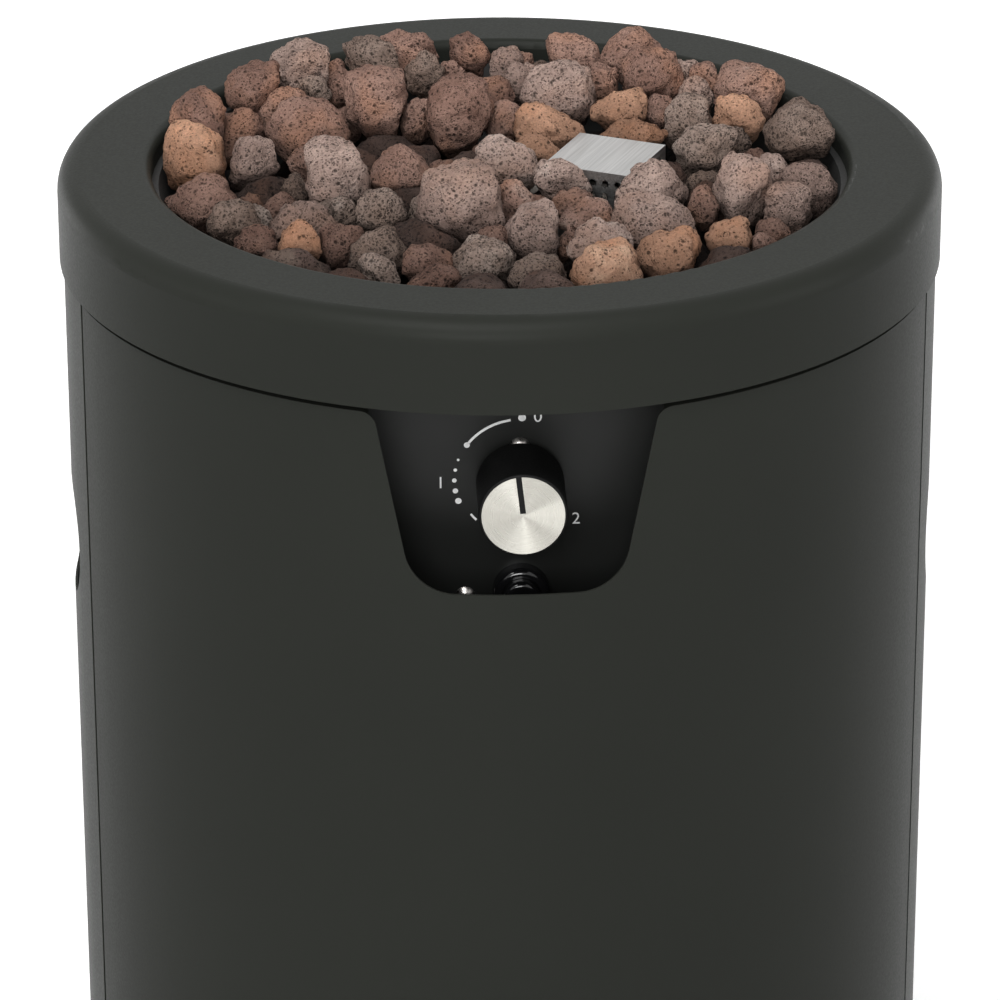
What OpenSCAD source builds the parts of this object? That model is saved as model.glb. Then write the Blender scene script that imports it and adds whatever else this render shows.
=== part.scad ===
// Column gas fire pit: a round steel column with a lava-rock fire bowl on top and a hinged door
// over the gas bottle space. Millimetres, +Z up, the front looks along -Y.
// The origin is on the floor, on the column's axis.

/* [Column] */
// Height from the floor to the top of the ring
pit_h = 711; // [660:1:760]
// Outside diameter of the door and the rear shell
shell_d = 396.4; // [376:0.2:416]
// Sheet thickness of the door and the rear shell
shell_t = 1.2; // [0.8:0.1:1.6]
// Angle from the front to each door seam
seam_angle = 72; // [66:0.5:76]
// Width of the door seam
seam_gap = 2.4; // [2.2:0.1:3.2]
// Depth of the shell's folds at the seams and the base
fold_w = 18; // [17:1:20]

/* [Top ring] */
// Gap between the ring's skirt and the shell
ring_gap = 0.2; // [0.2:0.1:0.8]
// Height of the ring's skirt
ring_h = 42; // [38:1:48]
// Sheet thickness of the ring
ring_t = 1.6; // [1.2:0.1:1.6]
// Rounding of the ring's outer top edge
ring_round = 10; // [6:1:12]
// Width of the ring from its outside to the opening over the bowl
ring_w = 42.5; // [41:0.5:44]
// Rounding of the opening's edge
lip_round = 4; // [2:0.5:5]
// Height of the down-turned lip that stands on the bowl's flange
lip_h = 10; // [8:1:12]
// Distance of the four ring studs from the shell's outside
stud_inset = 20.2; // [18.2:0.2:22.2]
// Diameter of the ring studs
stud_d = 5; // [4:1:6]

/* [Fire bowl] */
// Depth of the bowl's floor under the ring's top
bowl_depth = 70; // [66:1:74]
// Distance from the opening's edge to the inside of the bowl
lip_set = 3.1; // [2.5:0.1:5]
// How much narrower the bowl is at its floor, on each side
bowl_taper = 16.4; // [14.4:0.2:22.4]
// Sheet thickness of the bowl
bowl_t = 1.5; // [1:0.1:1.8]
// Distance of the bowl's flange from the shell's outside
flange_inset = 12.2; // [9.2:0.2:14.2]
// Depth of the rolled rail that carries the bowl
rail_h = 16; // [12:1:18]
// Width of the rail's flat leg
rail_w = 26; // [24:1:28]
// Sheet thickness of the rail
rail_t = 1.5; // [1:0.1:2]

/* [Burner] */
// Radius of the burner ring
burner_r = 95; // [90:1:98]
// Outside diameter of the burner tube
burner_d = 19; // [16:1:20]
// Wall of the burner tube
burner_wall = 1.2; // [0.8:0.1:1.6]
// Height of the burner tube's underside over the bowl's floor
burner_lift = 6; // [5:1:8]
// Number of flame ports
port_count = 24; // [12:2:36]
// Diameter of the flame ports
port_d = 3; // [2:0.5:4]
// Outside diameter of the mixer tube
mixer_d = 24; // [23:1:28]
// Length of the mixer tube
mixer_l = 58; // [54:1:60]

/* [Pilot hood] */
// Width of the pilot hood
hood_w = 42; // [38:1:46]
// Depth of the pilot hood
hood_d = 44; // [40:1:46]
// Sheet thickness of the hood
hood_t = 0.8; // [0.6:0.1:1]
// Hood's distance from the axis to the right
hood_x = 48; // [46:1:50]
// Hood's distance from the axis to the back
hood_y = 6; // [4:1:8]
// Turn of the hood seen from above
hood_turn = -25; // [-30:1:-20]
// Depth of the hood's top under the ring's top
hood_drop = 2; // [0:1:6]

/* [Door] */
// Gap between the ring and the door's top edge
door_top_gap = 2.5; // [2:0.1:4]
// Gap between the base and the door's lower edge
door_base_gap = 3; // [2.6:0.1:4]
// Depth of the door's fold on the hinge side
hinge_fold = 6; // [4:0.5:7]
// Depth of the door's fold on the catch side
catch_fold = 14; // [12:1:16]
// Width of the fold along the door's top and bottom edges
door_lip = 10; // [9:1:12]
// Hinge axis: distance from the door's edge
hinge_inset = 10; // [9:0.5:11]
// Hinge axis: depth under the outer surface
hinge_depth = 6.5; // [6.3:0.1:7]
// Diameter of the hinge pins
pin_d = 5; // [4:0.5:5]
// Half width of the control notch at the door's top edge
notch_half_w = 61; // [55:1:66]
// Height of the control notch
notch_h = 82.5; // [76:0.5:86]
// Slope of the notch's sides, sideways for each millimetre down
notch_slope = 0.197; // [0.1:0.01:0.3]
// Rounding of the notch's lower corners
notch_round = 22; // [14:1:26]
// Rounding of the notch's top corners
notch_top_round = 7; // [3:1:9]

/* [Hand holes and vents] */
// Width of a hand hole
hand_w = 80; // [70:1:90]
// Height of a hand hole
hand_h = 57; // [48:1:60]
// Hand-hole centre under the ring's top
hand_drop = 176; // [172:1:182]
// Number of vent slots low in the back
vent_count = 9; // [5:2:11]
// Width of a vent slot
vent_w = 9; // [6:1:10]
// Height of a vent slot
vent_h = 70; // [50:1:80]

/* [Controls] */
// Depth of the control panel's face under the shell's outside
panel_set = 50.2; // [49.2:0.1:50.6]
// Width of the control panel
panel_w = 172; // [168:1:176]
// Height of the control panel's plate
panel_h = 128; // [126:1:134]
// Top of the panel's plate under the ring's top
panel_drop = 51; // [50:1:53]
// Sheet thickness of the panel
panel_t = 1.2; // [1:0.1:1.4]
// Knob axis: distance to the right of the middle
knob_x = 3; // [-4:1:6]
// Knob axis under the ring's top
knob_drop = 94.5; // [93:0.5:96]
// Diameter of the knob
knob_d = 38.5; // [34:0.5:40]
// Length of the knob
knob_l = 34; // [30:0.5:36]
// Gap between the knob and the panel at rest
knob_gap = 5; // [5:0.1:6]
// Diameter of the metal face on the knob
knob_face_d = 36; // [31:0.5:37]
// Lean of the pointer to the left at rest, degrees
pointer_lean = 6.5; // [0:0.5:12]
// How far the knob pushes in
knob_travel = 2.5; // [2:0.1:2.6]
// Height of each valve screw from the knob's axis
valve_screw_rise = 15.5; // [15:0.5:20]
// Igniter button: distance to the left of the knob's axis
igniter_shift = -0.5; // [-2:0.5:4]
// Igniter button: distance below the knob's axis
igniter_fall = 52.5; // [50:0.5:53]
// Diameter of the igniter's collar
igniter_collar_d = 25; // [24:0.5:26]
// How far the igniter's collar stands out of the panel
igniter_collar_l = 8; // [7:0.5:9]
// Diameter of the igniter button
igniter_button_d = 17; // [14:0.5:18]
// How far the igniter button stands out of its collar
igniter_button_l = 5; // [5:0.5:6]
// How far the igniter button pushes in
igniter_travel = 4.5; // [3:0.5:4.5]

/* [Base] */
// Height of the base's top plate from the floor
base_h = 30; // [28:1:36]
// Gap between the base's skirt and the floor
skirt_gap = 8; // [6:1:10]
// Sheet thickness of the base
base_t = 1.5; // [1.2:0.1:2]
// How far the base stands out from the shell
base_step = 5.8; // [4.8:0.1:9.8]
// Rounding of the base's outer edge
base_round = 5; // [4:0.5:5]
// Diameter of a foot on the floor
foot_d = 34; // [28:1:38]
// Distance of the four feet's middles from the shell's outside
foot_inset = 33.2; // [30.2:0.2:48.2]
// Inside radius of the ring that holds the gas bottle's foot
bottle_ring_r = 104; // [102:1:112]
// Height of the bottle ring
bottle_ring_h = 22; // [16:1:26]
// Depth of the heat shield under the ring's top
shield_drop = 163; // [159:1:167]
// Distance of the heat shield's edge from the shell's outside
shield_inset = 48.2; // [43.2:0.2:53.2]

/* [Lava rocks] */
// Gap between two rocks
rock_gap = 0.5; // [0.4:0.1:0.8]
// Unevenness of the rocks
rock_rough = 0.22; // [0:0.01:0.3]

/* [Hidden] */
$fn = 96;

// Clearances
cut = 1;
seat_gap = 0.2;
run_gap = 0.05;
hole_gap = 0.25;
thrust_gap = 0.3;
bend_set = 0.15;

// Levels, from the floor
shell_r = shell_d / 2;
shell_in_r = shell_r - shell_t;
ring_r = shell_r + ring_gap + ring_t;
opening_r = ring_r - ring_w;
bowl_mouth_r = opening_r - lip_set;
bowl_floor_r = bowl_mouth_r - bowl_taper;
bowl_flange_r = shell_r - flange_inset;
stud_circle_r = shell_r - stud_inset;
base_r = shell_r + base_step;
foot_circle_r = shell_r - foot_inset;
panel_y = shell_r - panel_set;
shield_r = shell_r - shield_inset;
shield_z = pit_h - shield_drop;
ring_base = pit_h - ring_h;
flange_z = pit_h - lip_h;
rail_top = flange_z - bowl_t;
rail_r = shell_in_r - seat_gap;
floor_z = pit_h - bowl_depth;
floor_under = floor_z - bowl_t;
door_top = ring_base - door_top_gap;
door_base = base_h + door_base_gap;
door_edge = seam_angle - degrees_of(seam_gap / 2, shell_r);
shell_edge = seam_angle + degrees_of(seam_gap / 2, shell_r);
hinge_angle = door_edge - degrees_of(hinge_inset, shell_r);
hinge_r = shell_r - hinge_depth;
hand_z = pit_h - hand_drop;
knob_z = pit_h - knob_drop;
panel_top = pit_h - panel_drop;
panel_base = panel_top - panel_h;
panel_back = -panel_y + panel_t;
igniter_x = knob_x - igniter_shift;
igniter_z = knob_z - igniter_fall;
burner_z = floor_z + burner_lift + burner_d / 2;
burner_top = burner_z + burner_d / 2;
hood_top = pit_h - hood_drop;

// Degrees of arc that a length takes up on a circle
function degrees_of(length, radius) = length / radius * 180 / PI;

// Turns a piece that is drawn at the front round the column's axis
module at_angle(angle) {
    rotate([0, 0, angle])
        children();
}

// Four copies around the axis, between the front and the sides
module four_round(radius) {
    for (turn = [45 : 90 : 315])
        at_angle(turn)
            translate([0, -radius, 0])
                children();
}

// A rectangle with its two top corners rounded
module rounded_top(width, height, left_round, right_round) {
    difference() {
        square([width, height]);
        if (left_round > 0)
            difference() {
                translate([-cut, height - left_round])
                    square([left_round + cut, left_round + cut]);
                translate([left_round, height - left_round])
                    circle(left_round);
            }
        difference() {
            translate([width - right_round, height - right_round])
                square(right_round + cut);
            translate([width - right_round, height - right_round])
                circle(right_round);
        }
    }
}

// A slot with round ends, width along X and height along Y
module slot(width, height) {
    end_r = min(width, height) / 2;
    end_x = width / 2 - end_r;
    end_y = height / 2 - end_r;
    square(width > height ? [2 * end_x, height] : [width, 2 * end_y], center = true);
    for (side = [-1, 1])
        translate([side * end_x, side * end_y])
            circle(end_r);
}

// A sector of a tube round the Z axis, its middle at the front
module wall(outer_r, inner_r, height, from_angle, to_angle) {
    rotate([0, 0, from_angle - 90])
        rotate_extrude(angle = to_angle - from_angle)
            translate([inner_r, 0])
                square([outer_r - inner_r, height]);
}

// The same sector with a fold along its foot and, if wanted, along its top
module folded_wall(height, depth, top_fold, from_angle, to_angle) {
    inner_r = shell_in_r - depth;
    top_r = top_fold ? inner_r : shell_in_r;
    rotate([0, 0, from_angle - 90])
        rotate_extrude(angle = to_angle - from_angle)
            polygon([
                [inner_r, 0], [shell_r, 0], [shell_r, height], [top_r, height],
                [top_r, height - shell_t], [shell_in_r, height - shell_t], [shell_in_r, shell_t], [inner_r, shell_t]
            ]);
}

// A fold along a seam, set back a little from the sheet's end by the bend
module seam_fold(angle, inward, depth, base, top) {
    at_angle(angle)
        translate([inward > 0 ? bend_set : -bend_set - shell_t, -shell_in_r - shell_t / 2, base + shell_t / 2])
            cube([shell_t, depth + shell_t / 2, top - base - shell_t]);
}

// A cylinder that starts at y and points into the column
module rod_y(x, y, z, diameter, length) {
    translate([x, y, z])
        rotate([-90, 0, 0])
            cylinder(d = diameter, h = length);
}

// A screw with a domed head on its own Z axis, head upwards, seated at zero
module dome_screw(shank_d, shank_l, head_d, head_h) {
    translate([0, 0, -shank_l])
        cylinder(d = shank_d, h = shank_l);
    dome_r = (head_d * head_d / 4 + head_h * head_h) / (2 * head_h);
    intersection() {
        translate([0, 0, head_h - dome_r])
            sphere(dome_r);
        cylinder(d = head_d, h = head_h);
    }
}

// A hexagon nut on its own Z axis, seated at zero
module hex_nut(across, height, hole_d) {
    difference() {
        cylinder(d = across / cos(30), h = height, $fn = 6);
        translate([0, 0, -cut])
            cylinder(d = hole_d, h = height + 2 * cut);
    }
}

// Base: an upturned dish with a plate that carries the shell, the door and the gas bottle
base_drain_r = 60;
base_drain_d = 14;
base_drains = 6;
bush_d = 8;
bush_flange_d = 10;
bush_flange_h = 1.2;
foot_screw_d = 6;

module base_pan() {
    color("#3b3c3b")
        difference() {
            rotate_extrude()
                translate([0, skirt_gap])
                    difference() {
                        rounded_top(base_r, base_h - skirt_gap, 0, base_round);
                        translate([-cut, -cut])
                            rounded_top(base_r - base_t + cut, base_h - skirt_gap - base_t + cut, 0,
                                        base_round - base_t);
                    }
            four_round(foot_circle_r)
                cylinder(d = foot_screw_d + hole_gap, h = base_h + cut);
            for (turn = [0 : 360 / base_drains : 359])
                at_angle(turn)
                    translate([0, -base_drain_r, 0])
                        cylinder(d = base_drain_d, h = base_h + cut);
            for (turn = shell_screw_angles)
                at_angle(turn)
                    translate([0, -shell_screw_r, 0])
                        cylinder(d = shell_screw_d + hole_gap, h = base_h + cut);
            at_angle(hinge_angle)
                translate([0, -hinge_r, 0])
                    cylinder(d = bush_d + 2 * run_gap, h = base_h + cut);
        }
}

// Four rubber feet under the base, each held by a screw from above
foot_round = 3;
foot_head_d = 12;
foot_head_h = 4;
foot_screw_l = 18;

module feet() {
    color("#1c1c1c")
        four_round(foot_circle_r)
            difference() {
                rotate_extrude()
                    mirror([0, 1])
                        translate([0, -(base_h - base_t)])
                            rounded_top(foot_d / 2, base_h - base_t, 0, foot_round);
                translate([0, 0, base_h - foot_screw_l - cut])
                    cylinder(d = foot_screw_d + hole_gap, h = foot_screw_l);
            }
}

module foot_screws() {
    color("#8d8f92")
        four_round(foot_circle_r)
            translate([0, 0, base_h])
                dome_screw(foot_screw_d, foot_screw_l - base_t, foot_head_d, foot_head_h);
}

// A rolled strip on the base that the gas bottle's foot stands in, open at the front
bottle_ring_t = 2;
bottle_ring_gap = 50;

module bottle_ring() {
    color("#3b3c3b")
        translate([0, 0, base_h])
            wall(bottle_ring_r + bottle_ring_t, bottle_ring_r, bottle_ring_h, bottle_ring_gap,
                 360 - bottle_ring_gap);
}

// Rear shell: one rolled sheet from seam to seam, folded in at both seams and along the base
shell_screw_angles = [90 : 45 : 270];
shell_screw_d = 5;
shell_screw_l = 12;
shell_head_d = 10;
shell_head_h = 3;
shell_screw_r = shell_in_r - fold_w / 2;
shell_top = rail_top;
magnet_d = 13;
magnet_z = pit_h / 2;
magnet_flange_d = 16;
magnet_r = shell_in_r - magnet_flange_d / 2 - 1.5;

module vent_slots() {
    vent_step = 2 * vent_w / shell_r * 180 / PI;
    for (index = [0 : vent_count - 1])
        at_angle(180 + (index - (vent_count - 1) / 2) * vent_step)
            translate([0, -shell_r + shell_t + cut, door_base + 2 * vent_w + vent_h / 2])
                rotate([90, 0, 0])
                    linear_extrude(shell_t + 2 * cut)
                        slot(vent_w, vent_h);
}

module hand_holes() {
    for (side = [-1, 1])
        at_angle(side * 90)
            translate([0, -shell_in_r / 2, hand_z])
                rotate([90, 0, 0])
                    linear_extrude(shell_r)
                        slot(hand_w, hand_h);
}

module rear_shell() {
    color("#3f403f")
        difference() {
            union() {
                translate([0, 0, base_h])
                    folded_wall(shell_top - base_h, fold_w, false, shell_edge, 360 - shell_edge);
                for (side = [-1, 1])
                    seam_fold(side * shell_edge, side, fold_w, base_h, ring_base);
            }
            hand_holes();
            vent_slots();
            for (turn = shell_screw_angles)
                at_angle(turn)
                    translate([0, -shell_screw_r, base_h - cut])
                        cylinder(d = shell_screw_d + hole_gap, h = shell_t + 2 * cut);
            at_angle(-shell_edge)
                translate([cut, -magnet_r, magnet_z])
                    rotate([0, -90, 0])
                        cylinder(d = magnet_d + hole_gap, h = shell_t + 2 * cut);
        }
}

// Screws that hold the shell's lower fold to the base
module shell_screws() {
    color("#8d8f92")
        for (turn = shell_screw_angles)
            at_angle(turn)
                translate([0, -shell_screw_r, base_h + shell_t])
                    dome_screw(shell_screw_d, shell_screw_l, shell_head_d, shell_head_h);
}

// Rolled angle that is spot-welded inside the shell's top edge and bridges the door
module top_rail() {
    color("#2b2c2b")
        difference() {
            rotate_extrude()
                union() {
                    translate([rail_r - rail_t, rail_top - rail_h])
                        square([rail_t, rail_h]);
                    translate([rail_r - rail_w, rail_top - rail_t])
                        square([rail_w, rail_t]);
                }
            four_round(stud_circle_r)
                translate([0, 0, rail_top - rail_t - cut])
                    cylinder(d = stud_d + hole_gap, h = rail_t + 2 * cut);
            panel_screw_places()
                translate([0, 0, rail_top - rail_t - cut])
                    cylinder(d = stud_d + hole_gap, h = rail_t + 2 * cut);
        }
}

// Upper hinge bracket: a plate over the door's edge with a leg on the rear shell
bracket_t = 2.5;
bracket_z = ring_base + 2;
bracket_leg_h = rail_top - rail_h - bracket_z - 1;
bracket_w = 15;

module hinge_bracket() {
    outer_r = shell_in_r - seat_gap;
    leg_from = shell_edge + degrees_of(fold_w / 2, shell_r);
    leg_to = leg_from + degrees_of(bracket_w, shell_r);
    leg_end = leg_to - degrees_of(seat_gap, shell_r);
    plate_from = hinge_angle - degrees_of(bush_flange_d, shell_r);
    color("#8d8f92")
        difference() {
            union() {
                translate([0, 0, bracket_z])
                    wall(outer_r, outer_r - bracket_w, bracket_t, plate_from, leg_to);
                translate([0, 0, bracket_z + bracket_t])
                    wall(outer_r - seat_gap, outer_r - bracket_t, bracket_leg_h - bracket_t, leg_from, leg_end);
            }
            at_angle(hinge_angle)
                translate([0, -hinge_r, bracket_z - cut])
                    cylinder(d = bush_d + 2 * run_gap, h = bracket_t + 2 * cut);
        }
}

// Nylon bushes that the hinge pins turn in, the lower one also carries the door
module hinge_bush(flange_h, body_l) {
    rotate_extrude()
        translate([pin_d / 2 + run_gap, 0]) {
            translate([0, -body_l])
                square([(bush_d - pin_d) / 2 - run_gap, body_l + flange_h]);
            square([(bush_flange_d - pin_d) / 2 - run_gap, flange_h]);
        }
}

module hinge_bushes() {
    color("#d8d4c8")
        at_angle(hinge_angle)
            translate([0, -hinge_r, 0]) {
                translate([0, 0, base_h])
                    hinge_bush(door_base_gap - thrust_gap, base_t);
                translate([0, 0, bracket_z + bracket_t])
                    hinge_bush(bush_flange_h, bracket_t);
            }
}

// Magnet in a plastic cup, pressed into the shell's fold on the catch side
magnet_stand = 1;
magnet_l = 11;

module magnet_catch() {
    color("#26262a")
        at_angle(-shell_edge)
            translate([magnet_stand, -magnet_r, magnet_z])
                rotate([0, -90, 0]) {
                    cylinder(d = magnet_d, h = magnet_l);
                    translate([0, 0, magnet_stand + bend_set + shell_t])
                        cylinder(d = magnet_flange_d, h = 2);
                }
}

// Door: a rolled sheet with folded edges and a notch at its top for the controls
notch_steps = 12;

// Points of an arc from one angle to another
function arc_points(middle, radius, from_angle, to_angle) = [
    for (step = [0 : notch_steps])
        let (angle = from_angle + (to_angle - from_angle) * step / notch_steps)
        middle + radius * [cos(angle), sin(angle)]
];

// Right half of the notch, from its foot up to the door's edge
function notch_half() =
    let (tilt = sqrt(1 + notch_slope * notch_slope), lean = atan(notch_slope),
         low_x = notch_half_w - notch_slope * notch_h - notch_round * (tilt - notch_slope),
         top_x = notch_half_w - notch_slope * notch_top_round + notch_top_round * tilt)
    concat(
        arc_points([low_x, notch_round], notch_round, -90, -lean),
        arc_points([top_x, notch_h - notch_top_round], notch_top_round, 180 - lean, 90),
        [[top_x, notch_h + cut]]
    );

module notch_outline() {
    half = notch_half();
    polygon(concat(half, [for (index = [len(half) - 1 : -1 : 0]) [-half[index][0], half[index][1]]]));
}

module front_door() {
    color("#3f403f")
        difference() {
            union() {
                translate([0, 0, door_base])
                    folded_wall(door_top - door_base, door_lip, true, -door_edge, door_edge);
                seam_fold(door_edge, -1, hinge_fold, door_base, door_top);
                seam_fold(-door_edge, 1, catch_fold, door_base, door_top);
            }
            translate([0, -shell_r / 2, door_top - notch_h])
                rotate([90, 0, 0])
                    linear_extrude(shell_r)
                        notch_outline();
            at_angle(hinge_angle)
                translate([0, -hinge_r, 0])
                    cylinder(d = pin_d, h = pit_h);
        }
}

// Hinge pins riveted into the door's top and bottom folds
pin_head_d = 8;
pin_head_h = 2;

module hinge_pins() {
    low_tip = base_h - base_t - 3;
    high_tip = bracket_z + bracket_t + 3;
    color("#b9bbbd")
        at_angle(hinge_angle)
            translate([0, -hinge_r, 0]) {
                translate([0, 0, low_tip])
                    cylinder(d = pin_d, h = door_base + shell_t - low_tip);
                translate([0, 0, door_base + shell_t])
                    cylinder(d = pin_head_d, h = pin_head_h);
                translate([0, 0, door_top - shell_t])
                    cylinder(d = pin_d, h = high_tip - door_top + shell_t);
                translate([0, 0, door_top - shell_t - pin_head_h])
                    cylinder(d = pin_head_d, h = pin_head_h);
            }
}

// Steel strike on the door's fold, across from the magnet
strike_t = 0.8;
strike_inset = 1;

module strike_plate() {
    color("#b9bbbd")
        at_angle(-door_edge)
            translate([bend_set - strike_t, -shell_in_r + strike_inset, magnet_z - magnet_d])
                cube([strike_t, catch_fold - strike_inset, 2 * magnet_d]);
}

// Fire bowl: a spun pan with sloping sides, hung by its flange on the rail
bowl_drain_d = 8;
bowl_drains = 8;
bowl_drain_r = 27.5;
stub_place = [0, burner_r];
post_angles = [0, 120, 240];
post_screw_d = 4;

module fire_bowl() {
    color("#262726")
        difference() {
            rotate_extrude()
                polygon([
                    [0, floor_under], [bowl_floor_r + bowl_t, floor_under], [bowl_mouth_r + bowl_t, rail_top],
                    [bowl_flange_r, rail_top], [bowl_flange_r, flange_z], [bowl_mouth_r, flange_z],
                    [bowl_floor_r, floor_z], [0, floor_z]
                ]);
            translate([stub_place[0], stub_place[1], floor_under - cut])
                cylinder(d = burner_d + 2 * hole_gap, h = bowl_t + 2 * cut);
            for (turn = [0 : 360 / bowl_drains : 359])
                at_angle(turn + 180 / bowl_drains)
                    translate([0, -bowl_drain_r, floor_under - cut])
                        cylinder(d = bowl_drain_d, h = bowl_t + 2 * cut);
            four_round(stud_circle_r)
                translate([0, 0, rail_top - cut])
                    cylinder(d = stud_d + hole_gap, h = bowl_t + 2 * cut);
            panel_screw_places()
                translate([0, 0, rail_top - cut])
                    cylinder(d = stud_d + hole_gap, h = bowl_t + 2 * cut);
            post_screw_places()
                translate([0, 0, floor_under - cut])
                    cylinder(d = post_screw_d + hole_gap, h = bowl_t + 2 * cut);
            pilot_places()
                translate([0, 0, floor_under - cut])
                    cylinder(d = probe_d + 2 * hole_gap, h = bowl_t + 2 * cut);
        }
}

// Top ring: a pressed collar whose lip stands on the bowl's flange
module top_ring() {
    width = ring_r - opening_r;
    color("#3f403f")
        rotate_extrude()
            translate([opening_r, ring_base])
                difference() {
                    rounded_top(width, ring_h, lip_round, ring_round);
                    translate([ring_t, -cut])
                        rounded_top(width - 2 * ring_t, ring_h - ring_t + cut, lip_round - ring_t,
                                    ring_round - ring_t);
                    translate([-cut, -cut])
                        square([ring_t + 2 * cut, ring_h - lip_h + cut]);
                }
}

// Studs welded under the ring, and the nuts on them and on the panel's screws
nut_h = 4;
nut_across = 8;

module ring_studs() {
    color("#b9bbbd")
        four_round(stud_circle_r)
            translate([0, 0, rail_top - rail_t - nut_h - 2])
                cylinder(d = stud_d, h = pit_h - ring_t - rail_top + rail_t + nut_h + 2);
}

module flange_nuts() {
    color("#b9bbbd")
        four_round(stud_circle_r)
            translate([0, 0, rail_top - rail_t - nut_h])
                hex_nut(nut_across, nut_h, stud_d + 2 * run_gap);
    color("#b9bbbd")
        panel_screw_places()
            translate([0, 0, flange_z])
                hex_nut(nut_across, nut_h, stud_d + 2 * run_gap);
}

// Burner: a bent ring of tube with flame ports and a stub down through the bowl's floor
stub_l = 13;
port_lean = 40;

module burner_tube(diameter) {
    rotate_extrude()
        translate([burner_r, burner_z])
            circle(d = diameter);
}

module burner_ring() {
    color("#8a8680")
        difference() {
            union() {
                burner_tube(burner_d);
                translate([stub_place[0], stub_place[1], floor_under - stub_l])
                    cylinder(d = burner_d, h = burner_z - floor_under + stub_l);
            }
            burner_tube(burner_d - 2 * burner_wall);
            translate([stub_place[0], stub_place[1], floor_under - stub_l - cut])
                cylinder(d = burner_d - 2 * burner_wall, h = burner_z - floor_under + stub_l + cut);
            for (turn = [0 : 360 / port_count : 359])
                at_angle(turn + 180 / port_count)
                    translate([0, -burner_r, burner_z])
                        rotate([-port_lean, 0, 0])
                            cylinder(d = port_d, h = burner_d);
        }
}

// Posts that carry the burner, each held by a screw from under the bowl
post_d = 11;
post_head_d = 8;
post_head_h = 2.5;

module post_screw_places() {
    for (turn = post_angles)
        at_angle(turn)
            translate([0, -burner_r, 0])
                children();
}

module burner_posts() {
    color("#8a8680")
        difference() {
            post_screw_places()
                translate([0, 0, floor_z])
                    cylinder(d = post_d, h = burner_lift + burner_d / 4);
            burner_tube(burner_d + 2 * run_gap);
            post_screw_places()
                translate([0, 0, floor_z - cut])
                    cylinder(d = post_screw_d + 2 * run_gap, h = burner_lift - 1 + cut);
        }
}

module post_screws() {
    color("#b9bbbd")
        post_screw_places()
            translate([0, 0, floor_under])
                mirror([0, 0, 1])
                    dome_screw(post_screw_d, bowl_t + burner_lift - 2, post_head_d, post_head_h);
}

// Mixer: a tube with a narrow throat on the burner's stub, with air windows at its foot
mixer_top = floor_under - 1;
mixer_base = mixer_top - mixer_l;
mixer_plate = 6;
mixer_bore_r = 9;
throat_r = 6;
spigot_d = 12;
window_w = 12;
window_h = 14;
window_z = mixer_base + mixer_plate + window_h / 2 + 4;

module at_mixer() {
    translate([stub_place[0], stub_place[1], 0])
        children();
}

module air_windows(reach) {
    for (turn = [0, 90])
        at_angle(turn)
            translate([-window_w / 2, -reach, window_z - window_h / 2])
                cube([window_w, 2 * reach, window_h]);
}

module mixer_tube() {
    socket_r = burner_d / 2 + run_gap;
    throat_z = mixer_top - stub_l - 10;
    color("#a8a296")
        at_mixer()
            difference() {
                rotate_extrude()
                    polygon([
                        [socket_r, mixer_top], [mixer_d / 2, mixer_top], [mixer_d / 2, mixer_base],
                        [spigot_d / 2 + run_gap, mixer_base], [spigot_d / 2 + run_gap, mixer_base + mixer_plate],
                        [mixer_bore_r, mixer_base + mixer_plate], [mixer_bore_r, throat_z - 10],
                        [throat_r, throat_z], [socket_r, mixer_top - stub_l]
                    ]);
                air_windows(mixer_d);
            }
}

// Sleeve that covers part of the air windows
shutter_t = 1;
shutter_turn = 20;

module air_shutter() {
    color("#b9bbbd")
        at_mixer()
            difference() {
                translate([0, 0, window_z - window_h])
                    difference() {
                        cylinder(d = mixer_d + 2 * run_gap + 2 * shutter_t, h = 2 * window_h);
                        translate([0, 0, -cut])
                            cylinder(d = mixer_d + 2 * run_gap, h = 2 * window_h + 2 * cut);
                    }
                at_angle(shutter_turn)
                    air_windows(mixer_d);
            }
}

// Brass orifice fitting screwed into the mixer's foot
orifice_hex = 18;
orifice_hex_h = 12;
orifice_z = mixer_base - orifice_hex_h / 2;

module orifice_fitting() {
    color("#c9a24a")
        at_mixer()
            difference() {
                union() {
                    translate([0, 0, mixer_base - orifice_hex_h])
                        cylinder(d = orifice_hex / cos(30), h = orifice_hex_h, $fn = 6);
                    translate([0, 0, mixer_base])
                        cylinder(d = spigot_d, h = mixer_plate);
                    translate([0, 0, mixer_base + mixer_plate])
                        cylinder(d = 7, h = 6);
                }
                translate([0, 0, mixer_base - orifice_hex_h / 2])
                    cylinder(d = 2, h = pit_h);
            }
}

// Points of a smooth curve through a route
function smooth(route, steps) = [
    for (span = [0 : len(route) - 2])
        let (a = route[max(span - 1, 0)], b = route[span], c = route[span + 1],
             d = route[min(span + 2, len(route) - 1)])
        for (step = [0 : steps - (span == len(route) - 2 ? 0 : 1)])
            let (t = step / steps)
            (2 * b + (c - a) * t + (2 * a - 5 * b + 4 * c - d) * t * t + (3 * b - a - 3 * c + d) * t * t * t) / 2
];

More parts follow.
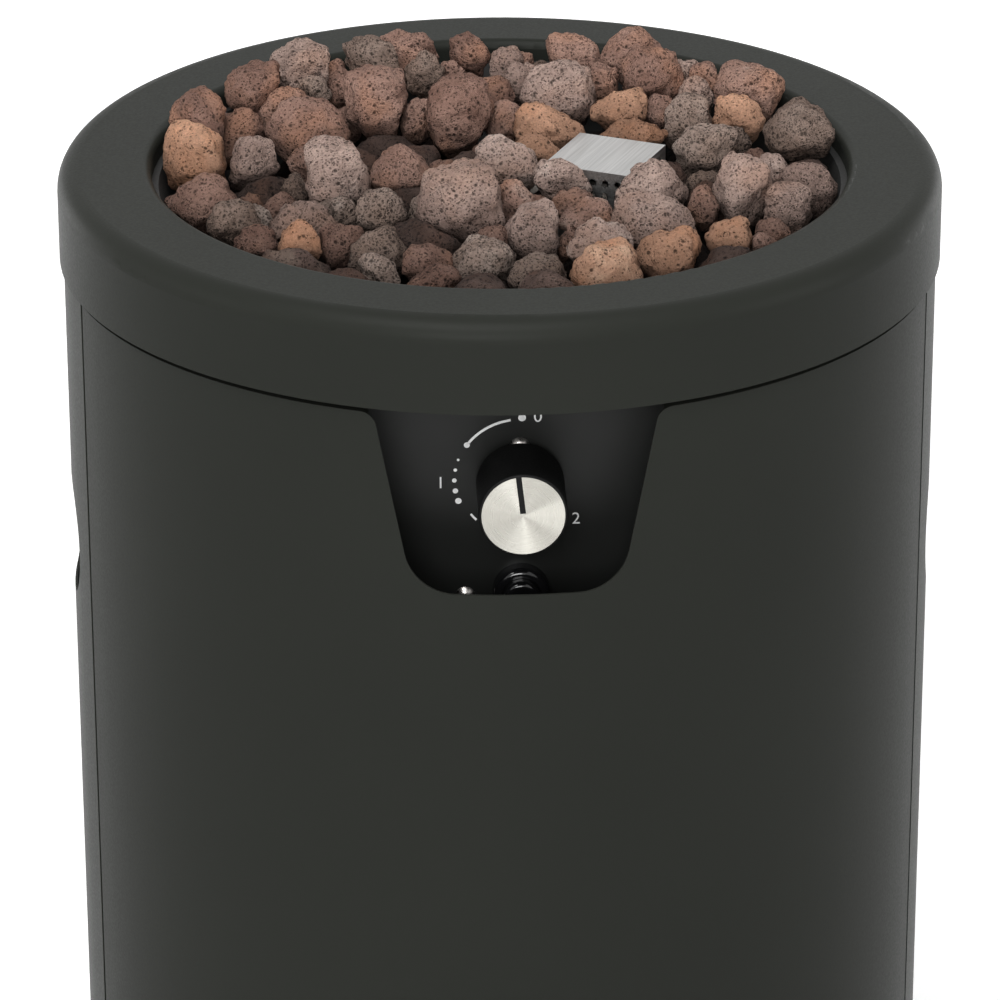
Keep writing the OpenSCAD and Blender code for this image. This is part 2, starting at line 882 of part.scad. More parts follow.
// A round tube along a route, with a side vector that the route never follows
module tube_along(route, diameter, sides, steps, side_vector) {
    path = smooth(route, steps);
    last = len(path) - 1;
    rings = [
        for (index = [0 : last])
            let (ahead = path[min(index + 1, last)] - path[max(index - 1, 0)],
                 across = cross(ahead, side_vector) / norm(cross(ahead, side_vector)),
                 over = cross(across, ahead) / norm(ahead))
            [for (side = [0 : sides - 1])
                path[index] + diameter / 2 * (across * cos(360 * side / sides) + over * sin(360 * side / sides))]
    ];
    polyhedron(
        points = [for (ring = rings) each ring],
        faces = concat(
            [[for (side = [0 : sides - 1]) side]],
            [for (index = [0 : last - 1]) for (side = [0 : sides - 1])
                let (next = (side + 1) % sides)
                each [
                    [index * sides + side, (index + 1) * sides + side, (index + 1) * sides + next],
                    [index * sides + side, (index + 1) * sides + next, index * sides + next]
                ]],
            [[for (side = [sides - 1 : -1 : 0]) last * sides + side]]
        )
    );
}

// Gas pipe from the valve's outlet back to the orifice fitting
pipe_d = 8;
pipe_gap = 0.4;
outlet_z = knob_z - 4;
outlet_nut_l = 12;
valve_l = 40;
valve_flange_t = 3;
valve_back = panel_back + valve_flange_t + valve_l;
pipe_start = [knob_x, valve_back + outlet_nut_l + pipe_gap, outlet_z];
pipe_end = [0, burner_r - orifice_hex / 2 - pipe_gap, orifice_z];
pipe_route = [
    pipe_start, pipe_start + [0, 20, 0], [-10, -30, (outlet_z + orifice_z) / 2 + 4],
    [-10, 20, orifice_z + 4], pipe_end - [0, 20, 0], pipe_end
];

module feed_pipe() {
    color("#c2c4c6")
        tube_along(pipe_route, pipe_d, 10, 5, [1, 0, 0.2]);
}

// Heat shield over the gas bottle, hung on four rods from the bowl
shield_t = 1;
shield_behind_panel = 36;
shield_front = panel_y - shield_behind_panel;
rod_d = 6;
rod_inset = 16;
rod_circle_r = bowl_floor_r - rod_inset;
rod_nut_h = 5;
rod_nut_across = 10;

module heat_shield() {
    color("#b4b6b6")
        translate([0, 0, shield_z])
            difference() {
                cylinder(r = shield_r, h = shield_t);
                translate([-shield_r, -shield_r - shield_front, -cut])
                    cube([2 * shield_r, shield_r, shield_t + 2 * cut]);
                four_round(rod_circle_r)
                    translate([0, 0, -cut])
                        cylinder(d = rod_d + hole_gap, h = shield_t + 2 * cut);
            }
}

module shield_rods() {
    rod_base = shield_z - rod_nut_h - 3;
    color("#b9bbbd")
        four_round(rod_circle_r)
            translate([0, 0, rod_base])
                cylinder(d = rod_d, h = floor_under - rod_base);
}

module shield_nuts() {
    color("#b9bbbd")
        four_round(rod_circle_r)
            for (level = [shield_z - rod_nut_h, shield_z + shield_t])
                translate([0, 0, level])
                    hex_nut(rod_nut_across, rod_nut_h, rod_d + 2 * run_gap);
}

// Control panel: a folded plate behind the door's notch, hung by two ears under the rail
panel_fold = 10;
ear_x = 60;
ear_w = 24;
ear_top = rail_top - rail_t;
ear_screw_inset = 19.2;
ear_screw_r = shell_r - ear_screw_inset;
ear_end = 6;
ear_front = sqrt(pow(ear_screw_r + ear_end, 2) - pow(ear_x + ear_w / 2, 2));
panel_head_d = 10;
panel_head_h = 3;
valve_hole_d = 16;
valve_screw_d = 4;
valve_head_d = 9;
valve_head_h = 2.2;
igniter_barrel_d = 21.8;
ground_x = -24;
ground_fall = 55.5;
ground_nut_across = 7;
ground_nut_h = 3.2;
ground_screw_l = 8;

module panel_screw_places() {
    screw_x = ear_x + ear_w / 2;
    for (side = [-1, 1])
        translate([side * screw_x, -sqrt(ear_screw_r * ear_screw_r - screw_x * screw_x), 0])
            children();
}

// Puts a piece on the panel's face: X to the right, Y up, Z out of the panel
module on_panel(x, z) {
    translate([x, -panel_y, z])
        rotate([90, 0, 0])
            children();
}

module control_panel() {
    color("#161616")
        difference() {
            union() {
                translate([-panel_w / 2, -panel_y, panel_base])
                    cube([panel_w, panel_t, panel_h]);
                translate([-panel_w / 2, -panel_y, panel_base])
                    cube([panel_w, panel_fold, panel_t]);
                for (side = [-1, 1]) {
                    translate([side > 0 ? panel_w / 2 - panel_t : -panel_w / 2, -panel_y, panel_base])
                        cube([panel_t, panel_fold, panel_h]);
                    translate([side > 0 ? ear_x : -ear_x - ear_w, -panel_y, panel_top - cut]) {
                        cube([ear_w, panel_t, ear_top - panel_top + cut]);
                        translate([0, panel_y - ear_front, ear_top - panel_top + cut - panel_t])
                            cube([ear_w, ear_front - panel_y + panel_t, panel_t]);
                    }
                }
            }
            panel_screw_places()
                cylinder(d = stud_d + hole_gap, h = pit_h);
            on_panel(knob_x, knob_z)
                translate([0, 0, -panel_t - cut])
                    cylinder(d = valve_hole_d, h = panel_t + 2 * cut);
            valve_screw_places()
                translate([0, 0, -panel_t - cut])
                    cylinder(d = valve_screw_d + hole_gap, h = panel_t + 2 * cut);
            on_panel(igniter_x, igniter_z)
                translate([0, 0, -panel_t - cut])
                    cylinder(d = igniter_barrel_d + hole_gap, h = panel_t + 2 * cut);
            on_panel(knob_x + ground_x, knob_z - ground_fall)
                translate([0, 0, -panel_t - cut])
                    cylinder(d = valve_screw_d + hole_gap, h = panel_t + 2 * cut);
        }
}

module panel_screws() {
    color("#b9bbbd")
        panel_screw_places()
            translate([0, 0, ear_top - panel_t])
                mirror([0, 0, 1])
                    dome_screw(stud_d, panel_t + rail_t + bowl_t + nut_h + 1, panel_head_d, panel_head_h);
}

// Earth screw with its nut behind the panel
module ground_screw() {
    color("#c9cbcc")
        on_panel(knob_x + ground_x, knob_z - ground_fall) {
            dome_screw(valve_screw_d, panel_t + ground_screw_l, valve_head_d, valve_head_h);
            translate([0, 0, -panel_t - ground_nut_h])
                hex_nut(ground_nut_across, ground_nut_h, valve_screw_d);
        }
}

// Gas valve: a cast body that two screws clamp to the back of the panel
valve_d = 36;
valve_flange_w = 24;
nose_d = 14;
nose_l = 3;
plunger_d = 11.9;
plunger_l = 10;
plunger_depth = 14;
stem_d = 8;
stem_depth = 20;
stem_bore_depth = 26;
magnet_boss_d = 15;
magnet_boss_x = 10;
magnet_boss_z = 9;
magnet_boss_l = 7;
inlet_boss_d = 20;
inlet_reach = 24;

module valve_screw_places() {
    for (side = [-1, 1])
        on_panel(knob_x, knob_z + side * valve_screw_rise)
            children();
}

module gas_valve() {
    color("#9fa2a4")
        difference() {
            union() {
                on_panel(knob_x, knob_z)
                    translate([0, 0, -panel_t - valve_flange_t])
                        linear_extrude(valve_flange_t)
                            slot(valve_flange_w, 2 * valve_screw_rise + valve_flange_w);
                rod_y(knob_x, panel_back + valve_flange_t, knob_z, valve_d, valve_l);
                rod_y(knob_x, -panel_y - nose_l, knob_z, nose_d, nose_l + panel_t + valve_flange_t);
                rod_y(knob_x + magnet_boss_x, valve_back, knob_z + magnet_boss_z, magnet_boss_d, magnet_boss_l);
                translate([knob_x, panel_back + valve_flange_t + valve_l / 2, knob_z])
                    rotate([0, -90, 0])
                        cylinder(d = inlet_boss_d, h = inlet_reach);
            }
            rod_y(knob_x, -panel_y - nose_l - cut, knob_z, plunger_d + 2 * run_gap, nose_l + plunger_depth + cut);
            rod_y(knob_x, -panel_y, knob_z, stem_d + 2 * run_gap, stem_bore_depth);
            valve_screw_places()
                translate([0, 0, -panel_t - valve_flange_t - cut])
                    cylinder(d = valve_screw_d, h = valve_flange_t + 2 * cut);
        }
}

module valve_screws() {
    color("#d4d6d8")
        valve_screw_places()
            dome_screw(valve_screw_d, panel_t + valve_flange_t, valve_head_d, valve_head_h);
}

// Nut on the valve's nose, in front of the panel
module gland_nut() {
    color("#c9a24a")
        on_panel(knob_x, knob_z)
            hex_nut(19, nose_l - 0.5, nose_d + 2 * run_gap);
}

// Nuts at the valve's outlet and the brass fitting at its inlet
module outlet_nut() {
    color("#c9a24a")
        translate([knob_x, valve_back, outlet_z])
            rotate([-90, 0, 0])
                cylinder(d = 14 / cos(30), h = outlet_nut_l, $fn = 6);
}

inlet_hex_l = 9;
flare_d = 15.8;
flare_l = 15;

module inlet_fitting() {
    color("#c9a24a")
        translate([knob_x - inlet_reach, panel_back + valve_flange_t + valve_l / 2, knob_z])
            rotate([0, -90, 0])
                difference() {
                    union() {
                        cylinder(d = 19 / cos(30), h = inlet_hex_l, $fn = 6);
                        translate([0, 0, inlet_hex_l])
                            cylinder(d = flare_d, h = flare_l - 4);
                        translate([0, 0, inlet_hex_l + flare_l - 4])
                            cylinder(d1 = flare_d, d2 = 10, h = 4);
                    }
                    translate([0, 0, inlet_hex_l])
                        cylinder(d = 6, h = flare_l + cut);
                }
}

// Push ring in the valve's nose, and the stem that turns in it
module valve_plunger() {
    color("#b9bbbd")
        on_panel(knob_x, knob_z)
            translate([0, 0, nose_l - plunger_l - 1])
                difference() {
                    cylinder(d = plunger_d, h = plunger_l);
                    translate([0, 0, -cut])
                        cylinder(d = stem_d + 2 * run_gap, h = plunger_l + 2 * cut);
                }
}

hub_back = knob_gap + 6;
hub_d = 14;
stem_tip = knob_gap + knob_l - 8;
stem_flat = 2.6;

// A round bar with one flat side, for the stem and the bore that it fits
module d_bar(diameter, flat, length) {
    difference() {
        cylinder(d = diameter, h = length);
        translate([-diameter, flat, -cut])
            cube([2 * diameter, diameter, length + 2 * cut]);
    }
}

module valve_stem() {
    color("#c9a24a")
        on_panel(knob_x, knob_z) {
            translate([0, 0, -stem_depth])
                cylinder(d = stem_d, h = stem_depth + hub_back);
            translate([0, 0, hub_back])
                d_bar(stem_d, stem_flat, stem_tip - hub_back);
        }
}

// Knob: a black moulded cup on the stem, with a turned metal face let into its front
knob_front = knob_gap + knob_l;
knob_wall = 2.4;
knob_head = 6;
knob_round = 1.2;
face_t = 1.2;
pointer_w = 2.4;
pointer_start = 1;

module pointer_bar(width, height) {
    rotate([0, 0, pointer_lean])
        translate([-width / 2, pointer_start, 0])
            cube([width, knob_face_d / 2 - pointer_start, height]);
}

module knob() {
    color("#1a1a1a")
        on_panel(knob_x, knob_z) {
            difference() {
                translate([0, 0, knob_gap])
                    rotate_extrude()
                        rounded_top(knob_d / 2, knob_l, 0, knob_round);
                translate([0, 0, knob_front - face_t])
                    cylinder(d = knob_face_d + 2 * run_gap, h = face_t + cut);
                difference() {
                    translate([0, 0, knob_gap - cut])
                        cylinder(d = knob_d - 2 * knob_wall, h = knob_l - knob_head + cut);
                    translate([0, 0, hub_back])
                        cylinder(d = hub_d, h = knob_l);
                }
                translate([0, 0, hub_back - cut])
                    d_bar(stem_d + 2 * run_gap, stem_flat + run_gap, stem_tip - hub_back + cut + run_gap);
            }
            intersection() {
                translate([0, 0, knob_front - face_t])
                    pointer_bar(pointer_w, face_t);
                cylinder(d = knob_face_d, h = knob_front);
            }
        }
}

module knob_face() {
    color("#d9dadb")
        on_panel(knob_x, knob_z)
            difference() {
                translate([0, 0, knob_front - face_t])
                    cylinder(d = knob_face_d, h = face_t);
                translate([0, 0, knob_front - face_t - cut])
                    pointer_bar(pointer_w + 2 * run_gap, face_t + 2 * cut);
            }
}

// Push-button igniter: a barrel through the panel with a collar in front and a nut behind
igniter_depth = 48;
collar_round = 2.8;
igniter_bore_depth = 20;
button_gap = 0.2;
button_back = 14;

module igniter_body() {
    color("#141414")
        on_panel(igniter_x, igniter_z)
            difference() {
                union() {
                    rotate_extrude()
                        rounded_top(igniter_collar_d / 2, igniter_collar_l, 0, collar_round);
                    translate([0, 0, -igniter_depth / 2])
                        cylinder(d = igniter_barrel_d, h = igniter_depth / 2);
                    translate([0, 0, -igniter_depth])
                        cylinder(d = igniter_button_d, h = igniter_depth / 2);
                }
                translate([0, 0, -igniter_bore_depth])
                    cylinder(d = igniter_button_d + 2 * button_gap, h = igniter_bore_depth + igniter_collar_l + cut);
            }
}

module igniter_nut() {
    color("#1e1e1e")
        on_panel(igniter_x, igniter_z)
            translate([0, 0, -panel_t - 5])
                hex_nut(28, 5, igniter_barrel_d + 2 * run_gap);
}

module igniter_button() {
    color("#101010")
        on_panel(igniter_x, igniter_z)
            translate([0, 0, -button_back])
                rotate_extrude()
                    rounded_top(igniter_button_d / 2, button_back + igniter_collar_l + igniter_button_l, 0, 2.5);
}

// Pilot: the spark electrode and the thermocouple stand on a bracket under a perforated hood
probe_d = 6;
probe_shift = 8;
probe_under = 8;
bracket_plate_t = 1.5;
bracket_inset = 2;
ceramic_l = 34;
spark_d = 2.4;
ferrule_l = 22;
tip_d = 4;

function hood_point(across, back) = [
    hood_x + across * cos(hood_turn) - back * sin(hood_turn),
    hood_y + across * sin(hood_turn) + back * cos(hood_turn)
];

module at_hood() {
    translate([hood_x, hood_y, 0])
        rotate([0, 0, hood_turn])
            children();
}

module pilot_places() {
    at_hood()
        for (side = [-1, 1])
            translate([side * probe_shift, 0, 0])
                children();
}

module pilot_bracket() {
    color("#b4b6b6")
        difference() {
            at_hood()
                translate([-hood_w / 2 + bracket_inset, -hood_d / 2 + bracket_inset, floor_z])
                    cube([hood_w - 2 * bracket_inset, hood_d - 2 * bracket_inset, bracket_plate_t]);
            pilot_places()
                translate([0, 0, floor_z - cut])
                    cylinder(d = probe_d + 2 * run_gap, h = bracket_plate_t + 2 * cut);
        }
}

module electrode() {
    color("#e8e4da")
        at_hood()
            translate([probe_shift, 0, floor_z - probe_under]) {
                cylinder(d = probe_d, h = ceramic_l);
                cylinder(d = spark_d, h = hood_top - floor_z - probe_under);
            }
}

module thermocouple() {
    color("#b87a4b")
        at_hood()
            translate([-probe_shift, 0, floor_z - probe_under]) {
                cylinder(d = probe_d, h = ferrule_l);
                cylinder(d = tip_d, h = hood_top - floor_z - probe_under);
            }
}

lead_d = 3;
lead_top = floor_z - probe_under;
lead_dip = 37;
boss_back = [knob_x + magnet_boss_x, valve_back + magnet_boss_l, knob_z + magnet_boss_z];

module thermocouple_lead() {
    start = concat(hood_point(-probe_shift, 0), lead_top);
    color("#b87a4b")
        tube_along([start, start - [0, 0, 5], start + [-6, -12, -9], [26, -45, lead_top - 8],
                    boss_back + [0, 20, 0], boss_back], lead_d, 8, 5, [1, 0, 0.1]);
}

module igniter_lead() {
    start = concat(hood_point(probe_shift, 0), lead_top);
    finish = [igniter_x, -panel_y + igniter_depth, igniter_z];
    color("#9a2a22")
        tube_along([start, start - [0, 0, 5], start + [0, -12, -14], [44, -46, lead_top - lead_dip],
                    [20, -66, igniter_z + 8], finish + [0, 18, 0], finish], lead_d, 8, 5, [1, 0, 0.1]);
}

// Stainless hood over the pilot, perforated on its four sides
hood_hole_d = 3.4;
hood_hole_step = 6;
hood_hole_rows = 5;

module hood_holes(width, depth) {
    columns = floor((width - 2 * hood_hole_step) / hood_hole_step);
    for (row = [0 : hood_hole_rows - 1])
        for (column = [0 : columns])
            translate([(column - columns / 2) * hood_hole_step, depth, hood_top - hood_hole_step * (row + 0.9)])
                rotate([90, 0, 0])
                    cylinder(d = hood_hole_d, h = 2 * depth);
}

module pilot_hood() {
    color("#c8cac9")
        at_hood()
            difference() {
                translate([-hood_w / 2, -hood_d / 2, floor_z])
                    cube([hood_w, hood_d, hood_top - floor_z]);
                translate([-hood_w / 2 + hood_t, -hood_d / 2 + hood_t, floor_z - cut])
                    cube([hood_w - 2 * hood_t, hood_d - 2 * hood_t, hood_top - floor_z - hood_t + cut]);
                hood_holes(hood_w, hood_d);
                rotate([0, 0, 90])
                    hood_holes(hood_d, hood_w);
            }
}

// Lava rocks. Each rock is a rough egg that is cut flat where it would run into its neighbours,
// the bowl, the burner or the pilot hood, so that the heap is packed and nothing overlaps.
// Places of the rocks on top: across, back, rise over the ring's top, width and height
brown_rocks = [
    [-136, 45, 4, 24, 23], [-133, -33, -10, 34, 20], [-100, -27, -14, 20, 12], [-112, -20, -15, 14, 12],
    [-87, 48, -5, 40, 24], [-97, 76, -4, 34, 20], [-118, 54, -10, 26, 22], [-109, 84, 3, 28, 24],
    [-72, 112, -2, 18, 18], [-70, 95, -2, 18, 14], [-68, 72, -8, 16, 14], [-54, 66, 0, 28, 36],
    [-41, 128, 3, 32, 22], [-17, 118, -1, 16, 14], [-11, 122, 4, 24, 20], [17, 130, -4, 18, 12],
    [2, 88, -3, 18, 16], [-17, 58, 1, 30, 33], [-37, 66, -6, 18, 18], [-22, 5, -12, 18, 15],
    [-46, -4, -7, 27, 22], [5, -38, -8, 16, 18], [-6, -74, -12, 14, 12], [-37, -97, -13, 23, 14],
    [-34, -122, -16, 24, 16], [32, -33, -12, 24, 14], [14, -30, -16, 14, 14], [28, -71, -14, 14, 13],
    [-73, -76, -13, 20, 18], [112, -82, -13, 12, 10], [118, -68, -12, 14, 12], [117, 72, 3, 28, 24],
    [89, -42, -9, 17, 19], [66, 116, 7, 28, 20], [76, 96, 3, 31, 26], [99, 97, 0, 15, 14],
    [53, 100, 0, 16, 14], [-84, 20, -9, 24, 16], [116, 14, -10, 18, 12], [-110, -72, -12, 22, 14],
    [37, 124, 1, 34, 20], [38, -55, -10, 26, 15], [4, 64, -9, 22, 16], [-2, 36, -13, 22, 14],
    [77, 74, -8, 20, 16]
];
mauve_rocks = [
    [-113, 15, -8, 25, 23], [-75, -12, -6, 32, 31], [2, 6, -6, 29, 20], [29, -14, -6, 22, 19],
    [31, 82, 0, 34, 28], [15, 106, -1, 20, 14], [-20, -50, -4, 40, 34], [67, -34, -9, 42, 26],
    [63, -62, -9, 34, 20], [107, -38, -5, 26, 31], [121, -6, -7, 22, 15], [126, -50, -8, 22, 22],
    [138, -24, -8, 24, 20], [94, 85, -2, 17, 15], [89, 106, 0, 20, 14], [41, -85, -11, 34, 17],
    [-90, -50, -12, 36, 16], [-88, 104, 6, 28, 22], [7, 118, 0, 18, 14], [14, -73, -9, 26, 20]
];
grey_rocks = [
    [-119, -53, -10, 26, 19], [-92, -8, -12, 16, 14], [-110, -41, -14, 15, 12], [-83, 88, 0, 16, 16],
    [-56, 116, 4, 28, 24], [-31, 108, 1, 18, 19], [-57, -87, -13, 30, 20], [-57, -110, -14, 20, 14],
    [-35, -34, -14, 16, 16], [-10, -100, -13, 27, 20], [14, -110, -14, 27, 15], [26, 122, -3, 16, 10],
    [138, 22, 1, 29, 24], [91, 55, -4, 24, 20], [106, 37, -8, 18, 14], [95, 18, -6, 34, 20],
    [92, -8, -12, 16, 12], [76, -46, -14, 12, 10], [-55, -46, -9, 24, 20], [-72, -37, -13, 20, 14]
];
tan_rocks = [
    [-136, 16, -6, 33, 27], [-91, -83, -10, 20, 19], [22, 48, -6, 32, 20], [16, 29, -8, 20, 14],
    [42, -111, -13, 40, 20], [71, -98, -12, 36, 20], [101, -80, -11, 22, 17], [111, 54, -3, 29, 19],
    [60, 68, -3, 28, 17], [64, 46, -8, 26, 13]
];

// The heap widens with the bowl's mouth, from the radius that the places are for
heap_r = 154.4;
heap_scale = bowl_mouth_r / heap_r;

// Rocks below: a ring of them outside the burner, one over it and two inside it.
// Each ring is a place, a radius, a count, a height over the bowl's floor, a width and a height.
outside_burner = "outside";
over_burner = "over";
inside_burner = "inside";
on_top = "top";
lower_rings = [
    [outside_burner, 126 * heap_scale, 20, 21, 42, 46], [over_burner, burner_r, 19, 36, 31, 26],
    [inside_burner, 60, 9, 21, 42, 46], [inside_burner, 22, 3, 21, 38, 46]
];
// Rocks between: a grid of places, used where no rock on top is near
between_step = 26;
between_rows = 6;
between_drop = 24;
between_size = 36;
between_reach = 112;
between_ring_r = 137;
between_ring_count = 30;

// A rock is a place, three half sizes, a turn seen from above and its layer
function top_rock(row, turn) = [
    [row[0] * heap_scale, row[1] * heap_scale, pit_h + row[2]],
    [0.77 * row[3] * heap_scale, 0.36 * (row[3] + row[4]) * heap_scale, 0.76 * row[4]], turn, on_top
];
function lower_rock(ring, index) =
    let (angle = 360 * (index + 0.5) / ring[2])
    [[ring[1] * cos(angle), ring[1] * sin(angle), floor_z + ring[3]],
     [ring[4] / 2, ring[4] / 2, ring[5] / 2], angle, ring[0]];
function hood_gaps(place) =
    let (away = [place[0] - hood_x, place[1] - hood_y],
         across = away[0] * cos(hood_turn) + away[1] * sin(hood_turn),
         back = away[1] * cos(hood_turn) - away[0] * sin(hood_turn))
    [across, back, abs(across) - hood_w / 2, abs(back) - hood_d / 2];
function between_places() = concat([
    for (row = [-between_rows : between_rows]) for (column = [-between_rows : between_rows])
        let (across = (column + (row % 2 == 0 ? 0 : 0.5)) * between_step, back = row * between_step * 0.866)
        if (norm([across, back]) < between_reach)
            [across, back]
], [
    for (index = [0 : between_ring_count - 1])
        let (angle = 360 * index / between_ring_count)
        between_ring_r * [cos(angle), sin(angle)]
]);
function room_for(place, rows) = min([
    for (row = rows)
        norm([row[0] - place[0], row[1] - place[1]]) - row[3] / 2
]) > 3;
function clear_of_hood(rock) = max(hood_gaps(rock[0])[2], hood_gaps(rock[0])[3]) > 5;

function all_rocks() =
    let (rows = concat(brown_rocks, mauve_rocks, grey_rocks, tan_rocks),
         turns = rands(-28, 28, len(rows), 7),
         between = [for (place = between_places()) if (room_for(place, rows))
             top_rock([place[0], place[1], -between_drop, between_size, between_size], 0)],
         lower = [for (ring = lower_rings) for (index = [0 : ring[2] - 1]) lower_rock(ring, index)])
    concat([for (index = [0 : len(rows) - 1]) top_rock(rows[index], turns[index])],
           [for (rock = concat(between, lower)) if (clear_of_hood(rock)) rock]);

// A direction seen from a rock that is turned
function turned(direction, turn) = [
    direction[0] * cos(turn) + direction[1] * sin(turn),
    direction[1] * cos(turn) - direction[0] * sin(turn), direction[2]
];
// Distance from a rock's middle to its surface, and to the flat that touches it square to a direction
function egg_reach(rock, direction) =
    let (d = turned(direction, rock[2]))
    1 / norm([d[0] / rock[1][0], d[1] / rock[1][1], d[2] / rock[1][2]]);
function egg_support(rock, direction) =
    let (d = turned(direction, rock[2]))
    norm([d[0] * rock[1][0], d[1] * rock[1][1], d[2] * rock[1][2]]);

// Flats that bound a rock, each a direction and a distance from the rock's middle
rock_wall_gap = 0.6;
wall_slope = (bowl_mouth_r - bowl_floor_r) / (flange_z - floor_z);
function neighbour_flats(rock, rocks) = [
    for (other = rocks)
        let (away = other[0] - rock[0], apart = norm(away))
        if (apart > 0.01 && apart < 75)
            let (own = egg_support(rock, away / apart), its = egg_support(other, away / apart))
            [away / apart, apart * own / (own + its) - rock_gap / 2]
];
function wall_flats(rock) =
    let (place = rock[0], angle = atan2(place[1], place[0]), tilt = sqrt(1 + wall_slope * wall_slope),
         wall_r = bowl_floor_r + (place[2] - floor_z) * wall_slope)
    [for (turn = [-16 : 8 : 16])
        let (out = [cos(angle + turn), sin(angle + turn), 0])
        [[out[0], out[1], -wall_slope] / tilt, (wall_r - out * place) / tilt - rock_wall_gap]];
function hood_flat(rock) =
    let (gaps = hood_gaps(rock[0]),
         side = gaps[2] > gaps[3] ? [-sign(gaps[0]), 0] : [0, -sign(gaps[1])])
    [[side[0] * cos(hood_turn) - side[1] * sin(hood_turn), side[0] * sin(hood_turn) + side[1] * cos(hood_turn), 0],
     max(gaps[2], gaps[3]) - rock_gap];
function burner_flat(rock) =
    let (place = rock[0], radius = norm([place[0], place[1]]), out = [place[0], place[1], 0] / radius)
    rock[3] == outside_burner ? [-out, radius - burner_r - burner_d / 2 - rock_gap]
    : rock[3] == inside_burner ? [out, burner_r - burner_d / 2 - 4 - radius]
    : [[0, 0, -1], place[2] - burner_top - rock_gap];
function rock_flats(rock, rocks) = concat(
    neighbour_flats(rock, rocks), wall_flats(rock),
    [hood_flat(rock), burner_flat(rock), [[0, 0, -1], rock[0][2] - floor_z - rock_gap]]
);

function cut_reach(direction, reach, flats) = min(concat([reach], [
    for (flat = flats)
        let (lean = flat[0] * direction)
        if (lean > 0.001)
            flat[1] / lean
]));

// Corners of a rock: rings of directions, and one towards each neighbour so that they touch
rock_ring = [[-50, 5], [4, 7], [48, 5]];
function rock_corners(rock, rocks, seed) =
    let (flats = rock_flats(rock, rocks),
         around = concat([[0, 0, 1], [0, 0, -1]], [
             for (ring = rock_ring) for (index = [0 : ring[1] - 1])
                 let (angle = rock[2] + (index + ring[0] / 90) * 360 / ring[1])
                 [cos(angle) * cos(ring[0]), sin(angle) * cos(ring[0]), sin(ring[0])]]),
         uneven = rands(1 - rock_rough, 1 + rock_rough / 2, len(around), seed))
    concat(
        [for (index = [0 : len(around) - 1])
            rock[0] + around[index] * cut_reach(around[index], uneven[index] * egg_reach(rock, around[index]), flats)],
        [for (flat = neighbour_flats(rock, rocks))
            if (flat[1] < egg_reach(rock, flat[0]))
                rock[0] + flat[0] * cut_reach(flat[0], flat[1], flats)]
    );

module rock_group(first, count) {
    rocks = all_rocks();
    for (index = [first : first + count - 1]) {
        corners = rock_corners(rocks[index], rocks, index);
        hull()
            polyhedron(corners, [[for (corner = [0 : len(corners) - 1]) corner]]);
    }
}

module rocks_brown() {
    color("#8a6658")
        rock_group(0, len(brown_rocks));
}

module rocks_mauve() {
    color("#8d7a78")
        rock_group(len(brown_rocks), len(mauve_rocks));
}

module rocks_grey() {
    color("#7a716c")
        rock_group(len(brown_rocks) + len(mauve_rocks), len(grey_rocks));
}

module rocks_tan() {
    color("#b0835f")
        rock_group(len(brown_rocks) + len(mauve_rocks) + len(grey_rocks), len(tan_rocks));
}

module rocks_lower() {
    top_count = len(brown_rocks) + len(mauve_rocks) + len(grey_rocks) + len(tan_rocks);
    color("#5e4a42")
        rock_group(top_count, len(all_rocks()) - top_count);
}

base_pan();
feet();
foot_screws();
bottle_ring();
rear_shell();
shell_screws();
top_rail();
hinge_bracket();
hinge_bushes();
magnet_catch();
front_door();
hinge_pins();
strike_plate();
fire_bowl();
top_ring();
ring_studs();
flange_nuts();
burner_ring();
burner_posts();
post_screws();
mixer_tube();
air_shutter();
orifice_fitting();
feed_pipe();
heat_shield();
shield_rods();
shield_nuts();
control_panel();
panel_screws();
ground_screw();
gas_valve();
valve_screws();
gland_nut();
outlet_nut();
inlet_fitting();
valve_plunger();
valve_stem();
knob();
knob_face();
igniter_body();
igniter_nut();
igniter_button();
igniter_lead();
electrode();
thermocouple();
thermocouple_lead();
pilot_bracket();
pilot_hood();
rocks_brown();
rocks_mauve();
rocks_grey();
rocks_tan();
rocks_lower();
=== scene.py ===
"""Looks of the column gas fire pit: a charcoal powder-coated column with lava rocks in its bowl."""
import math

import bpy
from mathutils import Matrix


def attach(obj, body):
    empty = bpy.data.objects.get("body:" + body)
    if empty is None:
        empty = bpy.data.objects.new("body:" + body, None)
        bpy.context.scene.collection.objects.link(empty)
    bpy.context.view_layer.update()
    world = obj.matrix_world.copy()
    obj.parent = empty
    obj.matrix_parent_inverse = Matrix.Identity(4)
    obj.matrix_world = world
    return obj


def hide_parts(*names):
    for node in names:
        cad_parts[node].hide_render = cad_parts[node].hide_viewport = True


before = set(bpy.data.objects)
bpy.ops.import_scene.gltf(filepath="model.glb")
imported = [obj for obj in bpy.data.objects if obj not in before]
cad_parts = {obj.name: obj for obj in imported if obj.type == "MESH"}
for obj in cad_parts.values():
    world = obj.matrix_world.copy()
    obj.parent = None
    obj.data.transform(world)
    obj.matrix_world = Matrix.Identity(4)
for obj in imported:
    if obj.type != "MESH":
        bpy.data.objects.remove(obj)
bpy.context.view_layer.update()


# Camera: a long lens well in front of the column and above it, a hand's width left of the middle,
# looking down on the ring so that the rocks and the front of the column both show.
camera_tilt = math.radians(90 - 23.995)
camera_lean = math.radians(0.127)
camera_turn = math.radians(-2.1513)
camera_data = bpy.data.cameras.new("camera")
camera_data.sensor_width = 36.0
camera_data.lens = 203.47
camera_data.clip_end = 50.0
camera = bpy.data.objects.new("camera", camera_data)
camera.location = (-0.0879, -2.3973, 1.6087)
camera.rotation_euler = (camera_tilt, camera_lean, camera_turn)
bpy.context.collection.objects.link(camera)
bpy.context.scene.camera = camera
bpy.context.scene.view_settings.view_transform = "Standard"


